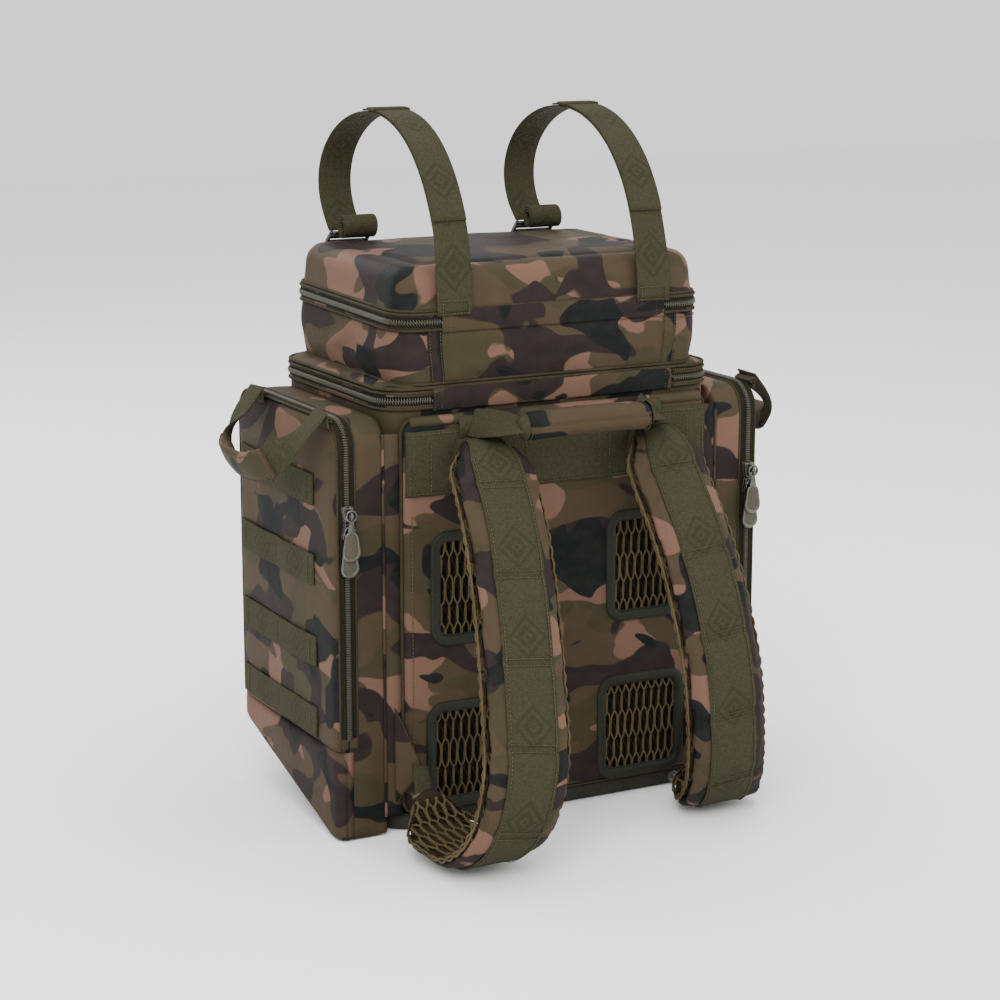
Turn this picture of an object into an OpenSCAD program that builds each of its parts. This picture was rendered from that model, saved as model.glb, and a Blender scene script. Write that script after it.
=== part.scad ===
/* [Main compartment] */
// Outside width of the main compartment
body_w = 360; // [320:5:400]
// Outside depth of the main compartment, harness face to front face
body_d = 250; // [230:5:280]
// Height of the zip that joins the lid to the main compartment
main_zip_z = 420; // [400:5:460]
// Thickness of the foam-lined fabric walls
wall = 5; // [3:0.5:6]
// Plan radius of the upright corners
corner_r = 32; // [20:1:40]
// Height that the reinforced base cover wraps up the walls
base_wrap = 18; // [16:1:19]

/* [Lid compartment] */
// Height of the zip that closes the lid compartment
top_zip_z = 500; // [490:1:520]
// Top of the moulded cover
cover_top = 548; // [540:1:560]
// How far the lid compartment is set in from the main zip on each side
tray_inset = 18; // [10:1:24]

/* [Pockets] */
// Thickness of a side pocket, main wall to outer face
pocket_t = 50; // [40:1:55]
// Height of the top of a side pocket
pocket_top = 405; // [390:1:408]
// Height of the fold line at which a pocket panel opens
fold_z = 88; // [80:1:92]
// Width of the webbing rows sewn on the pockets
row_w = 30; // [25:1:34]
// Width of the front pocket
front_w = 250; // [220:5:280]
// Height of the top of the front pocket
front_top = 330; // [300:5:345]

/* [Harness] */
// Width of a shoulder pad
pad_w = 88; // [80:1:92]
// Thickness of a shoulder pad
pad_t = 15; // [12:0.5:16]
// Width of the webbing sewn along a shoulder pad
pad_webbing_w = 50; // [40:1:60]
// Width of the lashing straps over the cover
top_strap_w = 36; // [30:1:40]

/* [Handles] */
// Diameter of the padded top grip
grip_d = 29; // [26:1:30]
// Length of the padded top grip
grip_len = 120; // [100:2:124]

/* [Hidden] */

// Colours of the fabric, webbing, zips and metal
camo = [0.33, 0.28, 0.22];
camo_dark = [0.24, 0.19, 0.19];
olive = [0.35, 0.34, 0.26];
zip_colour = [0.23, 0.22, 0.16];
base_colour = [0.24, 0.24, 0.21];
mesh_colour = [0.30, 0.27, 0.19];
metal = [0.62, 0.62, 0.60];

// The harness face is at y = 0 before the shift that centres the whole object
frame_y = -58.34;
arc_steps = 6;
half_w = body_w / 2;
harness_y = 6;
gap = 0.3;
base_t = 3;

// Zips: half the tape height, tape thickness and how far the coil stands out
tape_h = 8.5;
tape_t = 3;
coil_out = 1.6;
coil_h = 3;
hinge_half = 131;
top_hinge_half = 118;

// Lid compartment
lid_rim_h = 5;
tray_half_w = half_w - tray_inset;
tray_y0 = harness_y + 1;
tray_y1 = body_d - 4;
tray_wall = 4;
cover_wall = 3;
edge_r = 16;

// Pockets
pocket_in = half_w + 2.3;
pocket_out = half_w + 2 + pocket_t;
pocket_y0 = 6;
pocket_y1 = 240;
pocket_r = 26;
pocket_wall = 3;
lip = 11;
split_x = pocket_out - lip;
zip_end_z = 104;
front_y1 = body_d + pocket_t;
front_z0 = base_wrap + 2.5;
row_t = 2;
row_z = [109, 179, 259, 336];
front_row_z = [115, 180, 245];

// Sliders and pullers
slider_h = 4.4;
pivot_r = 2.2;
low_layer = 6;
high_layer = 10;
puller_t = 2.2;
slider_upper_z = 320;
slider_lower_z = 304;
front_slider_z = 180;
main_slider_x = 9;

// Side handles
handle_y0 = 28;
handle_y1 = 182;
handle_pivot = [pocket_out + 3, pocket_top + 8];
handle_reach = 78;
handle_drop = 40;

// Windows in the harness panel: half spacing, centre height, width, height
windows = [[96, 239, 86, 112], [94, 74.5, 100, 106]];
window_r = 18;
binding_w = 9;

// ---- helpers ----
function arc_points(c, r, a0, a1) =
    [for (i = [0 : arc_steps]) let (a = a0 + (a1 - a0) * i / arc_steps)
        [c[0] + r * cos(a), c[1] + r * sin(a)]];

function rounded_rect(x0, y0, x1, y1, r) = concat(
    arc_points([x1 - r, y1 - r], r, 0, 90),
    arc_points([x0 + r, y1 - r], r, 90, 180),
    arc_points([x0 + r, y0 + r], r, 180, 270),
    arc_points([x1 - r, y0 + r], r, 270, 360));

// Plan outline of the main compartment, moved outwards by d
function body_outline(d) =
    rounded_rect(-half_w - d, harness_y - d, half_w + d, body_d + d, corner_r + d);

// Plan outline of the lid compartment, moved outwards by d
function tray_outline(d) =
    rounded_rect(-tray_half_w - d, tray_y0 - d, tray_half_w + d, tray_y1 + d, corner_r + d);

// Side view of a side pocket, moved outwards by d: (y, z)
function pocket_profile(d) = concat(
    [[pocket_y0 - d, 3 - d], [pocket_y0 + 26, 3 - d], [pocket_y1 + d, 66 - d]],
    arc_points([pocket_y1 - pocket_r, pocket_top - pocket_r], pocket_r + d, 0, 90),
    arc_points([pocket_y0 + pocket_r, pocket_top - pocket_r], pocket_r + d, 90, 180));

// Front view of the front pocket, moved outwards by d: (x, z)
function front_profile(d) = concat(
    [[-front_w / 2 - d, front_z0 - d], [front_w / 2 + d, front_z0 - d]],
    arc_points([front_w / 2 - pocket_r, front_top - pocket_r], pocket_r + d, 0, 90),
    arc_points([-front_w / 2 + pocket_r, front_top - pocket_r], pocket_r + d, 90, 180));

// Cubic Bezier curve
function bezier(p, t) = pow(1 - t, 3) * p[0] + 3 * t * pow(1 - t, 2) * p[1]
    + 3 * t * t * (1 - t) * p[2] + pow(t, 3) * p[3];

// Smooth curve through route points, n steps between each pair
function spline_at(p, i, t) = let (
    a = p[max(i - 1, 0)], b = p[i], c = p[i + 1], d = p[min(i + 2, len(p) - 1)])
    0.5 * ((2 * b) + (c - a) * t + (2 * a - 5 * b + 4 * c - d) * t * t
    + (3 * b - a - 3 * c + d) * t * t * t);
function spline(p, n) = concat(
    [for (i = [0 : len(p) - 2]) for (k = [0 : n - 1]) spline_at(p, i, k / n)],
    [p[len(p) - 1]]);

function unit(v) = v / norm(v);

// Everything is drawn with the harness face at y = 0 and then moved into the frame
module framed() { translate([0, frame_y, 0]) children(); }

module ring(outer, inner, z0, z1) {
    translate([0, 0, z0]) linear_extrude(z1 - z0) difference() {
        polygon(outer);
        polygon(inner);
    }
}

// A solid whose side view is a (y, z) polygon, from x0 to x1
module slab_x(points, x0, x1) {
    translate([x0, 0, 0]) rotate([90, 0, 90]) linear_extrude(x1 - x0) polygon(points);
}

// A solid whose front view is an (x, z) polygon, from y0 to y1
module slab_y(points, y0, y1) {
    translate([0, y1, 0]) rotate([90, 0, 0]) linear_extrude(y1 - y0) polygon(points);
}

module mirrored(side) {
    if (side < 0) mirror([1, 0, 0]) children();
    else children();
}

// ---- main compartment ----
module body_shell() {
    color(camo) framed() difference() {
        translate([0, 0, base_t]) linear_extrude(main_zip_z - tape_h - base_t)
            polygon(body_outline(0));
        translate([0, 0, base_t + wall]) linear_extrude(main_zip_z)
            polygon(body_outline(-wall));
    }
}

module base_cover() {
    color(base_colour) framed() difference() {
        linear_extrude(base_wrap) polygon(body_outline(2));
        translate([0, 0, base_t]) linear_extrude(base_wrap) polygon(body_outline(0));
    }
}

// Two rivets on each long side of the base cover
module base_rivets() {
    rivet_x = half_w - 42;
    rivet_z = 9;
    color("gray") framed() for (side = [-1, 1]) {
        translate([side * rivet_x, harness_y - 2, rivet_z]) rotate([90, 0, 0]) rivet();
        translate([side * rivet_x, body_d + 2, rivet_z]) rotate([-90, 0, 0]) rivet();
    }
}
module rivet() {
    difference() {
        cylinder(h = 1.8, r = 6.5, $fn = 32);
        translate([0, 0, 0.8]) cylinder(h = 2, r = 3, $fn = 32);
    }
}

// Window outline: (x, z), moved inwards by d
module window_shape(w, d) {
    polygon(rounded_rect(-w[2] / 2 + d, -w[3] / 2 + d, w[2] / 2 - d, w[3] / 2 - d, window_r - d));
}
// The same slab at each window, from y0 to y1; d_in above 0 leaves a rim
module window_slab(y0, y1, d_out, d_in) {
    for (w = windows) for (side = [-1, 1])
        translate([side * w[0], y1, w[1]]) rotate([90, 0, 0]) linear_extrude(y1 - y0)
            difference() {
                window_shape(w, d_out);
                if (d_in > 0) window_shape(w, d_in);
            }
}

module back_panel() {
    color(camo) framed() difference() {
        slab_y(rounded_rect(-half_w + 14, base_wrap + 1, half_w - 14, main_zip_z - 16, 14),
            -4, harness_y);
        window_slab(-10, harness_y + 10, 1, 0);
    }
}

module window_meshes() {
    color(mesh_colour) framed() window_slab(-2, harness_y, 1.2, 0);
}

module window_bindings() {
    color(olive) framed() window_slab(-6, -4, 0, binding_w);
}

// Webbing band the shoulder straps are sewn under
module harness_band() {
    band_z = 331;
    band_h = 62;
    color(olive) framed() translate([-half_w + 14, -6, band_z]) cube([body_w - 28, 2, band_h]);
}

// Triangular gussets that hold the lower ends of the shoulder straps
module side_wings() {
    seam = [half_w - 3, -4];
    tip = [half_w - 22, -18];
    reach = norm(tip - seam);
    turn = atan2(tip[1] - seam[1], tip[0] - seam[0]);
    color(camo_dark) framed() for (side = [-1, 1]) mirrored(side)
        translate([seam[0], seam[1], 0]) rotate([90, 0, turn]) linear_extrude(2.5)
            polygon([[0, 36], [reach, 66], [reach, 74], [0, 128]]);
}

// ---- zips ----
// Tape with a coil bead, on an outline given by its offset from the wall
module tape(outer, inner, bead, z0, z1, bead_low) {
    ring(outer, inner, z0, z1);
    if (bead_low) ring(bead, outer, z0, z0 + coil_h);
    else ring(bead, outer, z1 - coil_h, z1);
}
// Keeps the tape off the hinge side
module off_hinge(half, y) {
    difference() {
        children();
        translate([-half, y - 20, 0]) cube([2 * half, 60, 600]);
    }
}

module main_zip_lower() {
    color(zip_colour) framed() off_hinge(hinge_half, harness_y)
        tape(body_outline(0), body_outline(-tape_t), body_outline(coil_out),
            main_zip_z - tape_h, main_zip_z - gap, false);
}

module main_zip_upper() {
    color(zip_colour) framed() off_hinge(hinge_half, harness_y)
        tape(body_outline(0), body_outline(-tape_t), body_outline(coil_out),
            main_zip_z + gap, main_zip_z + tape_h, true);
}

module main_hinge_band() {
    color(camo) framed()
        translate([-hinge_half + gap, harness_y, main_zip_z - tape_h])
            cube([2 * (hinge_half - gap), tape_t, tape_h - gap]);
}

module top_zip_lower() {
    color(zip_colour) framed() off_hinge(top_hinge_half, tray_y0)
        tape(tray_outline(0), tray_outline(-tape_t), tray_outline(coil_out),
            top_zip_z - tape_h, top_zip_z - gap, false);
}

module top_zip_upper() {
    color(zip_colour) framed() off_hinge(top_hinge_half, tray_y0)
        tape(tray_outline(0), tray_outline(-tape_t), tray_outline(coil_out),
            top_zip_z + gap, top_zip_z + tape_h, true);
}

module top_hinge_band() {
    color(camo) framed()
        translate([-top_hinge_half + gap, tray_y0, top_zip_z - tape_h])
            cube([2 * (top_hinge_half - gap), tape_t, tape_h - gap]);
}

// ---- lid compartment ----
module lid_panel() {
    color(camo) framed() translate([0, 0, main_zip_z + tape_h]) linear_extrude(lid_rim_h)
        polygon(body_outline(0));
}

module lid_tray() {
    color(camo) framed()
        ring(tray_outline(0), tray_outline(-tray_wall),
            main_zip_z + tape_h + lid_rim_h, top_zip_z - tape_h);
}

// Moulded cover: outline drawn in by a quarter circle at the top edge
module cover_form(inset) {
    base_z = top_zip_z + tape_h;
    hull() for (i = [0 : arc_steps]) let (a = 90 * i / arc_steps)
        translate([0, 0, cover_top - edge_r + (edge_r - inset) * sin(a) - 0.01 * i])
            linear_extrude(0.01)
                polygon(tray_outline(-inset - 3 - (edge_r - inset) * (1 - cos(a))));
    hull() {
        translate([0, 0, cover_top - edge_r]) linear_extrude(0.01)
            polygon(tray_outline(-inset - 3));
        translate([0, 0, base_z]) linear_extrude(0.01) polygon(tray_outline(-inset));
    }
}
module cover_shell() {
    base_z = top_zip_z + tape_h;
    color(camo) framed() difference() {
        cover_form(0);
        cover_form(cover_wall);
        translate([0, 0, base_z - 1]) linear_extrude(1.02) polygon(tray_outline(-cover_wall));
    }
}

// Lashing strap: rises at the harness side, arches over the cover and comes down in front
strap_x = 105;
strap_t = 2.5;
strap_rise = [[4, top_zip_z + 14], [6, 600], [60, 677], [155, 677]];
strap_fall = [[155, 677], [245, 677], [316, 610], [250, 555]];
strap_steps = 12;
strap_line = concat(
    [for (i = [0 : strap_steps - 1]) bezier(strap_rise, i / strap_steps)],
    [for (i = [0 : strap_steps]) bezier(strap_fall, i / strap_steps)]);
function side_of(line, i, d) = let (
    a = line[max(i - 1, 0)], b = line[min(i + 1, len(line) - 1)], u = unit(b - a))
    line[i] + d * [u[1], -u[0]];
function ribbon(line, t) = concat(
    [for (i = [0 : len(line) - 1]) side_of(line, i, t / 2)],
    [for (i = [len(line) - 1 : -1 : 0]) side_of(line, i, -t / 2)]);

module top_straps() {
    roll_r = 11;
    color(olive) framed() for (side = [-1, 1]) {
        slab_x(ribbon(strap_line, strap_t), side * strap_x - top_strap_w / 2,
            side * strap_x + top_strap_w / 2);
        translate([side * strap_x - top_strap_w / 2, tray_y0 - 4, top_zip_z + tape_h])
            cube([top_strap_w, 3.6, 8]);
        translate([side * strap_x - top_strap_w / 2, 223, cover_top + roll_r + 0.4])
            rotate([0, 90, 0]) cylinder(h = top_strap_w, r = roll_r, $fn = 24);
    }
}

module top_buckles() {
    frame_l = 24;
    frame_w = top_strap_w + 10;
    frame_t = 4.5;
    bar = 4;
    tilt = -45;
    color([0.12, 0.12, 0.11]) framed() for (side = [-1, 1])
        translate([side * strap_x, 243.5, 544.5]) rotate([tilt, 0, 0]) difference() {
            translate([-frame_w / 2, -frame_l / 2, 0]) cube([frame_w, frame_l, frame_t]);
            for (s = [-1, 1]) translate([-top_strap_w / 2 - 1, s * 5 - 3, -1])
                cube([top_strap_w + 2, 6, frame_t + 2]);
        }
}

module buckle_tabs() {
    color(olive) framed() for (side = [-1, 1])
        translate([side * strap_x - 15, tray_y1 + coil_out + gap, top_zip_z + tape_h + 0.5])
            cube([30, 2, 26]);
}

// ---- side pockets ----
module above(z) { intersection() { children(); translate([-400, -400, z]) cube([800, 1000, 800]); } }
module below(z) { intersection() { children(); translate([-400, -400, z - 800]) cube([800, 1000, 800]); } }

module side_pocket_body() {
    difference() {
        union() {
            slab_x(pocket_profile(0), pocket_in, split_x - gap);
            below(fold_z) slab_x(pocket_profile(0), pocket_in + 5, pocket_out);
            above(base_wrap + 1) slab_x(pocket_profile(-12), half_w, pocket_in + 1);
        }
        slab_x(pocket_profile(-pocket_wall), pocket_in + pocket_wall, pocket_out - pocket_wall);
    }
}
module side_pocket_flap() {
    above(fold_z + 0.6) difference() {
        slab_x(pocket_profile(0), split_x + gap, pocket_out);
        slab_x(pocket_profile(-pocket_wall), split_x - 1, pocket_out - pocket_wall);
    }
}
// One half of a side pocket's zip: a tape strip with its coil, on the gusset
module side_zip_half(x0, x1, coil_at) {
    above(zip_end_z) difference() {
        union() {
            slab_x(pocket_profile(0.8), x0, x1);
            slab_x(pocket_profile(coil_out), coil_at, coil_at + coil_h);
        }
        slab_x(pocket_profile(0), x0 - 1, x1 + 1);
    }
}
module side_rows() {
    for (z = row_z) translate([pocket_out, pocket_y0 + 42, z - row_w / 2])
        cube([row_t, pocket_y1 - pocket_y0 - 46, row_w]);
    tab_z = pocket_top + coil_out + 0.6;
    for (y = [handle_y0, handle_y1]) translate([0, y + row_w / 2, 0]) rotate([90, 0, 0])
        linear_extrude(row_w) polygon([[pocket_out - 26, tab_z], [pocket_out, tab_z],
            [pocket_out, pocket_top - 1], [pocket_out + row_t, pocket_top - 1],
            [pocket_out + row_t, tab_z + row_t], [pocket_out - 26, tab_z + row_t]]);
}

module left_pocket_body() { color(camo) framed() mirrored(-1) side_pocket_body(); }
module right_pocket_body() { color(camo) framed() mirrored(1) side_pocket_body(); }
module left_pocket_flap() { color(camo) framed() mirrored(-1) side_pocket_flap(); }
module right_pocket_flap() { color(camo) framed() mirrored(1) side_pocket_flap(); }
module flap_zip(side) {
    color(zip_colour) framed() mirrored(side)
        side_zip_half(split_x + gap, split_x + 8, split_x + gap);
}
module left_flap_zip() { flap_zip(-1); }
module right_flap_zip() { flap_zip(1); }
module left_pocket_webbing() { color(olive) framed() mirrored(-1) side_rows(); }
module right_pocket_webbing() { color(olive) framed() mirrored(1) side_rows(); }

// ---- front pocket ----
front_split = front_y1 - lip;
module front_pocket_body() {
    color(camo) framed() difference() {
        union() {
            slab_y(front_profile(0), body_d, front_split - gap);
            below(fold_z) slab_y(front_profile(0), body_d, front_y1);
        }
        slab_y(front_profile(-pocket_wall), body_d + pocket_wall, front_y1 - pocket_wall);
    }
}
module front_pocket_flap() {
    color(camo) framed() above(fold_z + 0.6) difference() {
        slab_y(front_profile(0), front_split + gap, front_y1);
        slab_y(front_profile(-pocket_wall), front_split - 1, front_y1 - pocket_wall);
    }
}
module front_zip_half(y0, y1, coil_at) {
    above(zip_end_z) difference() {
        union() {
            slab_y(front_profile(0.8), y0, y1);
            slab_y(front_profile(coil_out), coil_at, coil_at + coil_h);
        }
        slab_y(front_profile(0), y0 - 1, y1 + 1);
    }
}
module front_flap_zip() {
    color(zip_colour) framed()
        front_zip_half(front_split + gap, front_split + 8, front_split + gap);
}
module front_pocket_webbing() {
    color(olive) framed() for (z = front_row_z)
        translate([-front_w / 2 + 12, front_y1, z - row_w / 2])
            cube([front_w - 24, row_t, row_w]);
}

// The zip halves that stay on the pocket bodies
module pocket_zips() {
    color(zip_colour) framed() {
        for (side = [-1, 1]) mirrored(side)
            side_zip_half(split_x - 8, split_x - gap, split_x - gap - coil_h);
        front_zip_half(front_split - 8, front_split - gap, front_split - gap - coil_h);
    }
}

// ---- handles ----
// Side handle, drawn in its own plane: u away from the pivot, y along the pocket
handle_u0 = 3;
sleeve_u = handle_reach - 26;
module handle_plane(side) {
    framed() mirrored(side) translate([handle_pivot[0], 0, handle_pivot[1]])
        rotate([0, handle_drop, 0]) children();
}
module handle_webbing(side) {
    color(olive) handle_plane(side) linear_extrude(2.5, center = true) {
        polygon([[handle_u0, handle_y0 - row_w / 2], [sleeve_u - gap, handle_y0 + 4],
            [sleeve_u - gap, handle_y0 + 4 + row_w], [handle_u0, handle_y0 + row_w / 2]]);
        polygon([[handle_u0, handle_y1 - row_w / 2], [sleeve_u - gap, handle_y1 - 4 - row_w],
            [sleeve_u - gap, handle_y1 - 4], [handle_u0, handle_y1 + row_w / 2]]);
    }
}
module handle_sleeve(side) {
    color(camo) handle_plane(side) translate([0, 0, -6]) linear_extrude(12)
        polygon(rounded_rect(sleeve_u, handle_y0 + 2, handle_reach, handle_y1 - 2, 12));
}
module left_handle_webbing() { handle_webbing(-1); }
module right_handle_webbing() { handle_webbing(1); }
module left_handle_sleeve() { handle_sleeve(-1); }
module right_handle_sleeve() { handle_sleeve(1); }

grip_y = -54;
grip_z = 398;
module top_grip() {
    color(camo) framed() translate([-grip_len / 2, grip_y, grip_z]) rotate([0, 90, 0])
        cylinder(h = grip_len, d = grip_d, $fn = 32);
}
// Two webbing ends that hold the grip
module top_grip_webbing() {
    color(olive) framed() for (side = [-1, 1]) mirrored(side) intersection() {
        translate([0, 0, grip_z - 9]) linear_extrude(18)
            polygon([[grip_len / 2, grip_y - 4], [grip_len / 2 + 6, grip_y - 3], [100, -7],
                [94, -7], [grip_len / 2, grip_y + 6]]);
        slab_x([[grip_y - 8, grip_z - 9], [-28, grip_z - 9], [-7, grip_z - 2.4],
            [-7, grip_z + 2.4], [-28, grip_z + 9], [grip_y - 8, grip_z + 9]], 50, 110);
    }
}

// ---- shoulder straps ----
// Routes of the pads' mid lines, from the top anchor to the lower end
left_route = [[-95, -14, 376], [-95, -36, 373], [-97, -62, 346], [-101, -92, 302],
    [-107, -121, 242], [-115, -149, 172], [-126, -174, 106], [-137, -166, 48],
    [-146, -130, 16], [-153, -86, 16], [-157, -48, 26], [-160, -30, 54]];
right_route = [[95, -14, 374], [95, -34, 366], [97, -60, 328], [102, -88, 282],
    [108, -110, 225], [114, -125, 162], [120, -125, 102], [128, -112, 48],
    [136, -86, 18], [147, -58, 16], [155, -38, 30], [160, -30, 54]];
route_steps = 3;
// Clear space between a pad and its webbing, which bend on different radii
web_gap = 0.8;

// Strap swept along a line, width along x. The section holds (share of the width, distance
// out) points; every face between two rings is split from its left near corner
function frame_at(line, i) = let (
    a = line[max(i - 1, 0)], b = line[min(i + 1, len(line) - 1)], t = unit(b - a),
    across = unit([1, 0, 0] - t[0] * t))
    [across, cross(t, across)];
// Half width: narrow at the top anchor, full from the third ring on
function taper(i, w) = w * (i == 0 ? 0.55 : i == 1 ? 0.75 : i == 2 ? 0.92 : 1);
module swept(line, w, section) {
    n = len(line);
    m = len(section);
    points = [for (i = [0 : n - 1]) let (f = frame_at(line, i)) for (s = section)
        line[i] + f[0] * s[0] * taper(i, w) + f[1] * s[1]];
    faces = concat([[for (k = [0 : m - 1]) k]],
        [for (i = [0 : n - 2]) for (k = [0 : m - 1])
            let (next = (k + 1) % m, a = m * i + k, b = m * i + next)
            each section[k][0] < section[next][0]
                ? [[b, a, b + m], [a, a + m, b + m]] : [[b, a, a + m], [b, a + m, b + m]]],
        [[for (k = [m - 1 : -1 : 0]) m * (n - 1) + k]]);
    polyhedron(points, faces, convexity = 6);
}
// The pad's outer face has the webbing's width marked in it, so both bend alike
module shoulder_pad(route) {
    share = pad_webbing_w / pad_w / 2;
    half = pad_t / 2;
    color(camo) framed() swept(spline(route, route_steps), pad_w,
        [[-0.5, -half], [0.5, -half], [0.5, half], [share, half], [-share, half], [-0.5, half]]);
}
module shoulder_webbing(route) {
    low = pad_t / 2 + web_gap;
    color(olive) framed() swept(spline(route, route_steps), pad_webbing_w,
        [[-0.5, low], [0.5, low], [0.5, low + 2], [-0.5, low + 2]]);
}
module left_shoulder_pad() { shoulder_pad(left_route); }
module right_shoulder_pad() { shoulder_pad(right_route); }
module left_shoulder_webbing() { shoulder_webbing(left_route); }
module right_shoulder_webbing() { shoulder_webbing(right_route); }

// ---- sliders and pullers ----
// Drawn with z out of the zip and y upwards; turn is the angle of the zip line
module slider(layer, turn) {
    color(metal) {
        rotate([0, 0, turn]) translate([0, 0, gap]) linear_extrude(slider_h)
            polygon([[-3.5, -7], [3.5, -7], [5, 3], [5, 7], [-5, 7], [-5, 3]]);
        cylinder(h = layer + puller_t + 1.2, r = pivot_r, $fn = 24);
        translate([0, 0, layer + puller_t + 0.4]) cylinder(h = 0.8, r = 4.2, $fn = 24);
    }
}
module puller(layer) {
    ring_r = 6;
    plate_y = -26;
    color(metal) translate([0, 0, layer]) difference() {
        union() {
            cylinder(h = puller_t, r = ring_r, $fn = 32);
            linear_extrude(puller_t) polygon([[-2.6, -4], [2.6, -4], [4.2, -14], [-4.2, -14]]);
            linear_extrude(puller_t) polygon(concat(arc_points([0, plate_y + 4], 9, 0, 180),
                arc_points([0, plate_y - 8], 9, 180, 360)));
        }
        translate([0, 0, -1]) cylinder(h = puller_t + 2, r = 3.7, $fn = 24);
    }
}
module on_back(x, y, z) { framed() translate([x, y, z]) rotate([90, 0, 0]) children(); }
module on_front(x, y, z) { framed() translate([x, y, z]) rotate([90, 0, 180]) children(); }
module on_right(x, y, z) { framed() translate([x, y, z]) rotate([90, 0, 90]) children(); }

zip_face_y = pocket_y0 - coil_out;
main_face_y = body_d + coil_out;
top_face_y = tray_y1 + coil_out;
front_face_x = front_w / 2 + coil_out;

module main_slider_a() { on_front(-main_slider_x, main_face_y, main_zip_z) slider(high_layer, 90); }
module main_puller_a() { on_front(-main_slider_x, main_face_y, main_zip_z) puller(high_layer); }
module main_slider_b() { on_front(main_slider_x, main_face_y, main_zip_z) slider(low_layer, -90); }
module main_puller_b() { on_front(main_slider_x, main_face_y, main_zip_z) puller(low_layer); }
module top_slider() { on_front(0, top_face_y, top_zip_z) slider(low_layer, 90); }
module top_puller() { on_front(0, top_face_y, top_zip_z) puller(low_layer); }
module left_slider_upper() { on_back(-split_x, zip_face_y, slider_upper_z) slider(high_layer, 0); }
module left_puller_upper() { on_back(-split_x, zip_face_y, slider_upper_z) puller(high_layer); }
module left_slider_lower() { on_back(-split_x, zip_face_y, slider_lower_z) slider(low_layer, 180); }
module left_puller_lower() { on_back(-split_x, zip_face_y, slider_lower_z) puller(low_layer); }
module right_slider_upper() { on_back(split_x, zip_face_y, slider_upper_z) slider(high_layer, 0); }
module right_puller_upper() { on_back(split_x, zip_face_y, slider_upper_z) puller(high_layer); }
module right_slider_lower() { on_back(split_x, zip_face_y, slider_lower_z) slider(low_layer, 180); }
module right_puller_lower() { on_back(split_x, zip_face_y, slider_lower_z) puller(low_layer); }
module front_slider() { on_right(front_face_x, front_split, front_slider_z) slider(low_layer, 0); }
module front_puller() { on_right(front_face_x, front_split, front_slider_z) puller(low_layer); }

body_shell();
base_cover();
base_rivets();
back_panel();
window_meshes();
window_bindings();
harness_band();
side_wings();
left_pocket_body();
right_pocket_body();
front_pocket_body();
pocket_zips();
main_zip_lower();
main_hinge_band();
lid_panel();
lid_tray();
main_zip_upper();
top_zip_lower();
top_hinge_band();
cover_shell();
top_zip_upper();
top_straps();
top_buckles();
buckle_tabs();
left_pocket_flap();
left_flap_zip();
left_pocket_webbing();
right_pocket_flap();
right_flap_zip();
right_pocket_webbing();
front_pocket_flap();
front_flap_zip();
front_pocket_webbing();
left_handle_webbing();
left_handle_sleeve();
right_handle_webbing();
right_handle_sleeve();
top_grip();
top_grip_webbing();
left_shoulder_pad();
left_shoulder_webbing();
right_shoulder_pad();
right_shoulder_webbing();
main_slider_a();
main_puller_a();
main_slider_b();
main_puller_b();
top_slider();
top_puller();
left_slider_upper();
left_puller_upper();
left_slider_lower();
left_puller_lower();
right_slider_upper();
right_puller_upper();
right_slider_lower();
right_puller_lower();
front_slider();
front_puller();
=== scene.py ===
"""The looks of a tackle backpack: fabric, webbing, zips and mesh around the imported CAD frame."""
from math import atan2, copysign, cos, exp, hypot, pi, radians, sin, sqrt

import bpy
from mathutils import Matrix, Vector, noise
from mathutils.bvhtree import BVHTree


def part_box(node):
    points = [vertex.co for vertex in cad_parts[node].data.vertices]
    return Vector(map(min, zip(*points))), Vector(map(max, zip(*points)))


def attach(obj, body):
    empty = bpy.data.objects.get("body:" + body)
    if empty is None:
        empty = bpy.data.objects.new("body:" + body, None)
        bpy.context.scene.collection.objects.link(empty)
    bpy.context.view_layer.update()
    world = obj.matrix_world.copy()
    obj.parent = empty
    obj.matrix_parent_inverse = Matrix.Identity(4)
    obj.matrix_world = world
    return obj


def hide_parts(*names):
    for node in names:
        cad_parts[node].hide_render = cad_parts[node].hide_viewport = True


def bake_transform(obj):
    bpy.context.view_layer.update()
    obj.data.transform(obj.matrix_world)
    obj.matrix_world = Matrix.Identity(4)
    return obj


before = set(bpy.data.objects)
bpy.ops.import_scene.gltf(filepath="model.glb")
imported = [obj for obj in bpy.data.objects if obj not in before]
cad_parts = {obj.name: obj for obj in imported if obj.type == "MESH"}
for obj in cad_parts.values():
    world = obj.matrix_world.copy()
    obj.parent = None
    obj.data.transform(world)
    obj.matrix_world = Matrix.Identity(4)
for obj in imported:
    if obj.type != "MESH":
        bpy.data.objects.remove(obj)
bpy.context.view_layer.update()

MM = 0.001


# ---------------------------------------------------------------- driving sizes, from the frame
def node_box(node):
    """A CAD node's lowest and highest corners in millimetres."""
    low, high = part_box(node)
    return [c / MM for c in low], [c / MM for c in high]


SHELL_LOW, SHELL_HIGH = node_box("body_shell")
HALF_W = SHELL_HIGH[0]
WALL_Y0 = 6.0                              # harness-side wall, in the working frame
SHIFT_Y = SHELL_LOW[1] - WALL_Y0           # working frame (harness face at y = 0) to row frame
DEPTH = SHELL_HIGH[1] - SHIFT_Y
BASE_T = SHELL_LOW[2]
TAPE_H = 8.5
MAIN_ZIP = SHELL_HIGH[2] + TAPE_H
TRAY_LOW, TRAY_HIGH = node_box("lid_tray")
TRAY_HALF = TRAY_HIGH[0]
TRAY_Y0 = TRAY_LOW[1] - SHIFT_Y
TRAY_Y1 = TRAY_HIGH[1] - SHIFT_Y
TRAY_Z0 = TRAY_LOW[2]
TOP_ZIP = TRAY_HIGH[2] + TAPE_H
COVER_TOP = node_box("cover_shell")[1][2]
CORNER_R = 32.0
TRAY_R = 26.0
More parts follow.
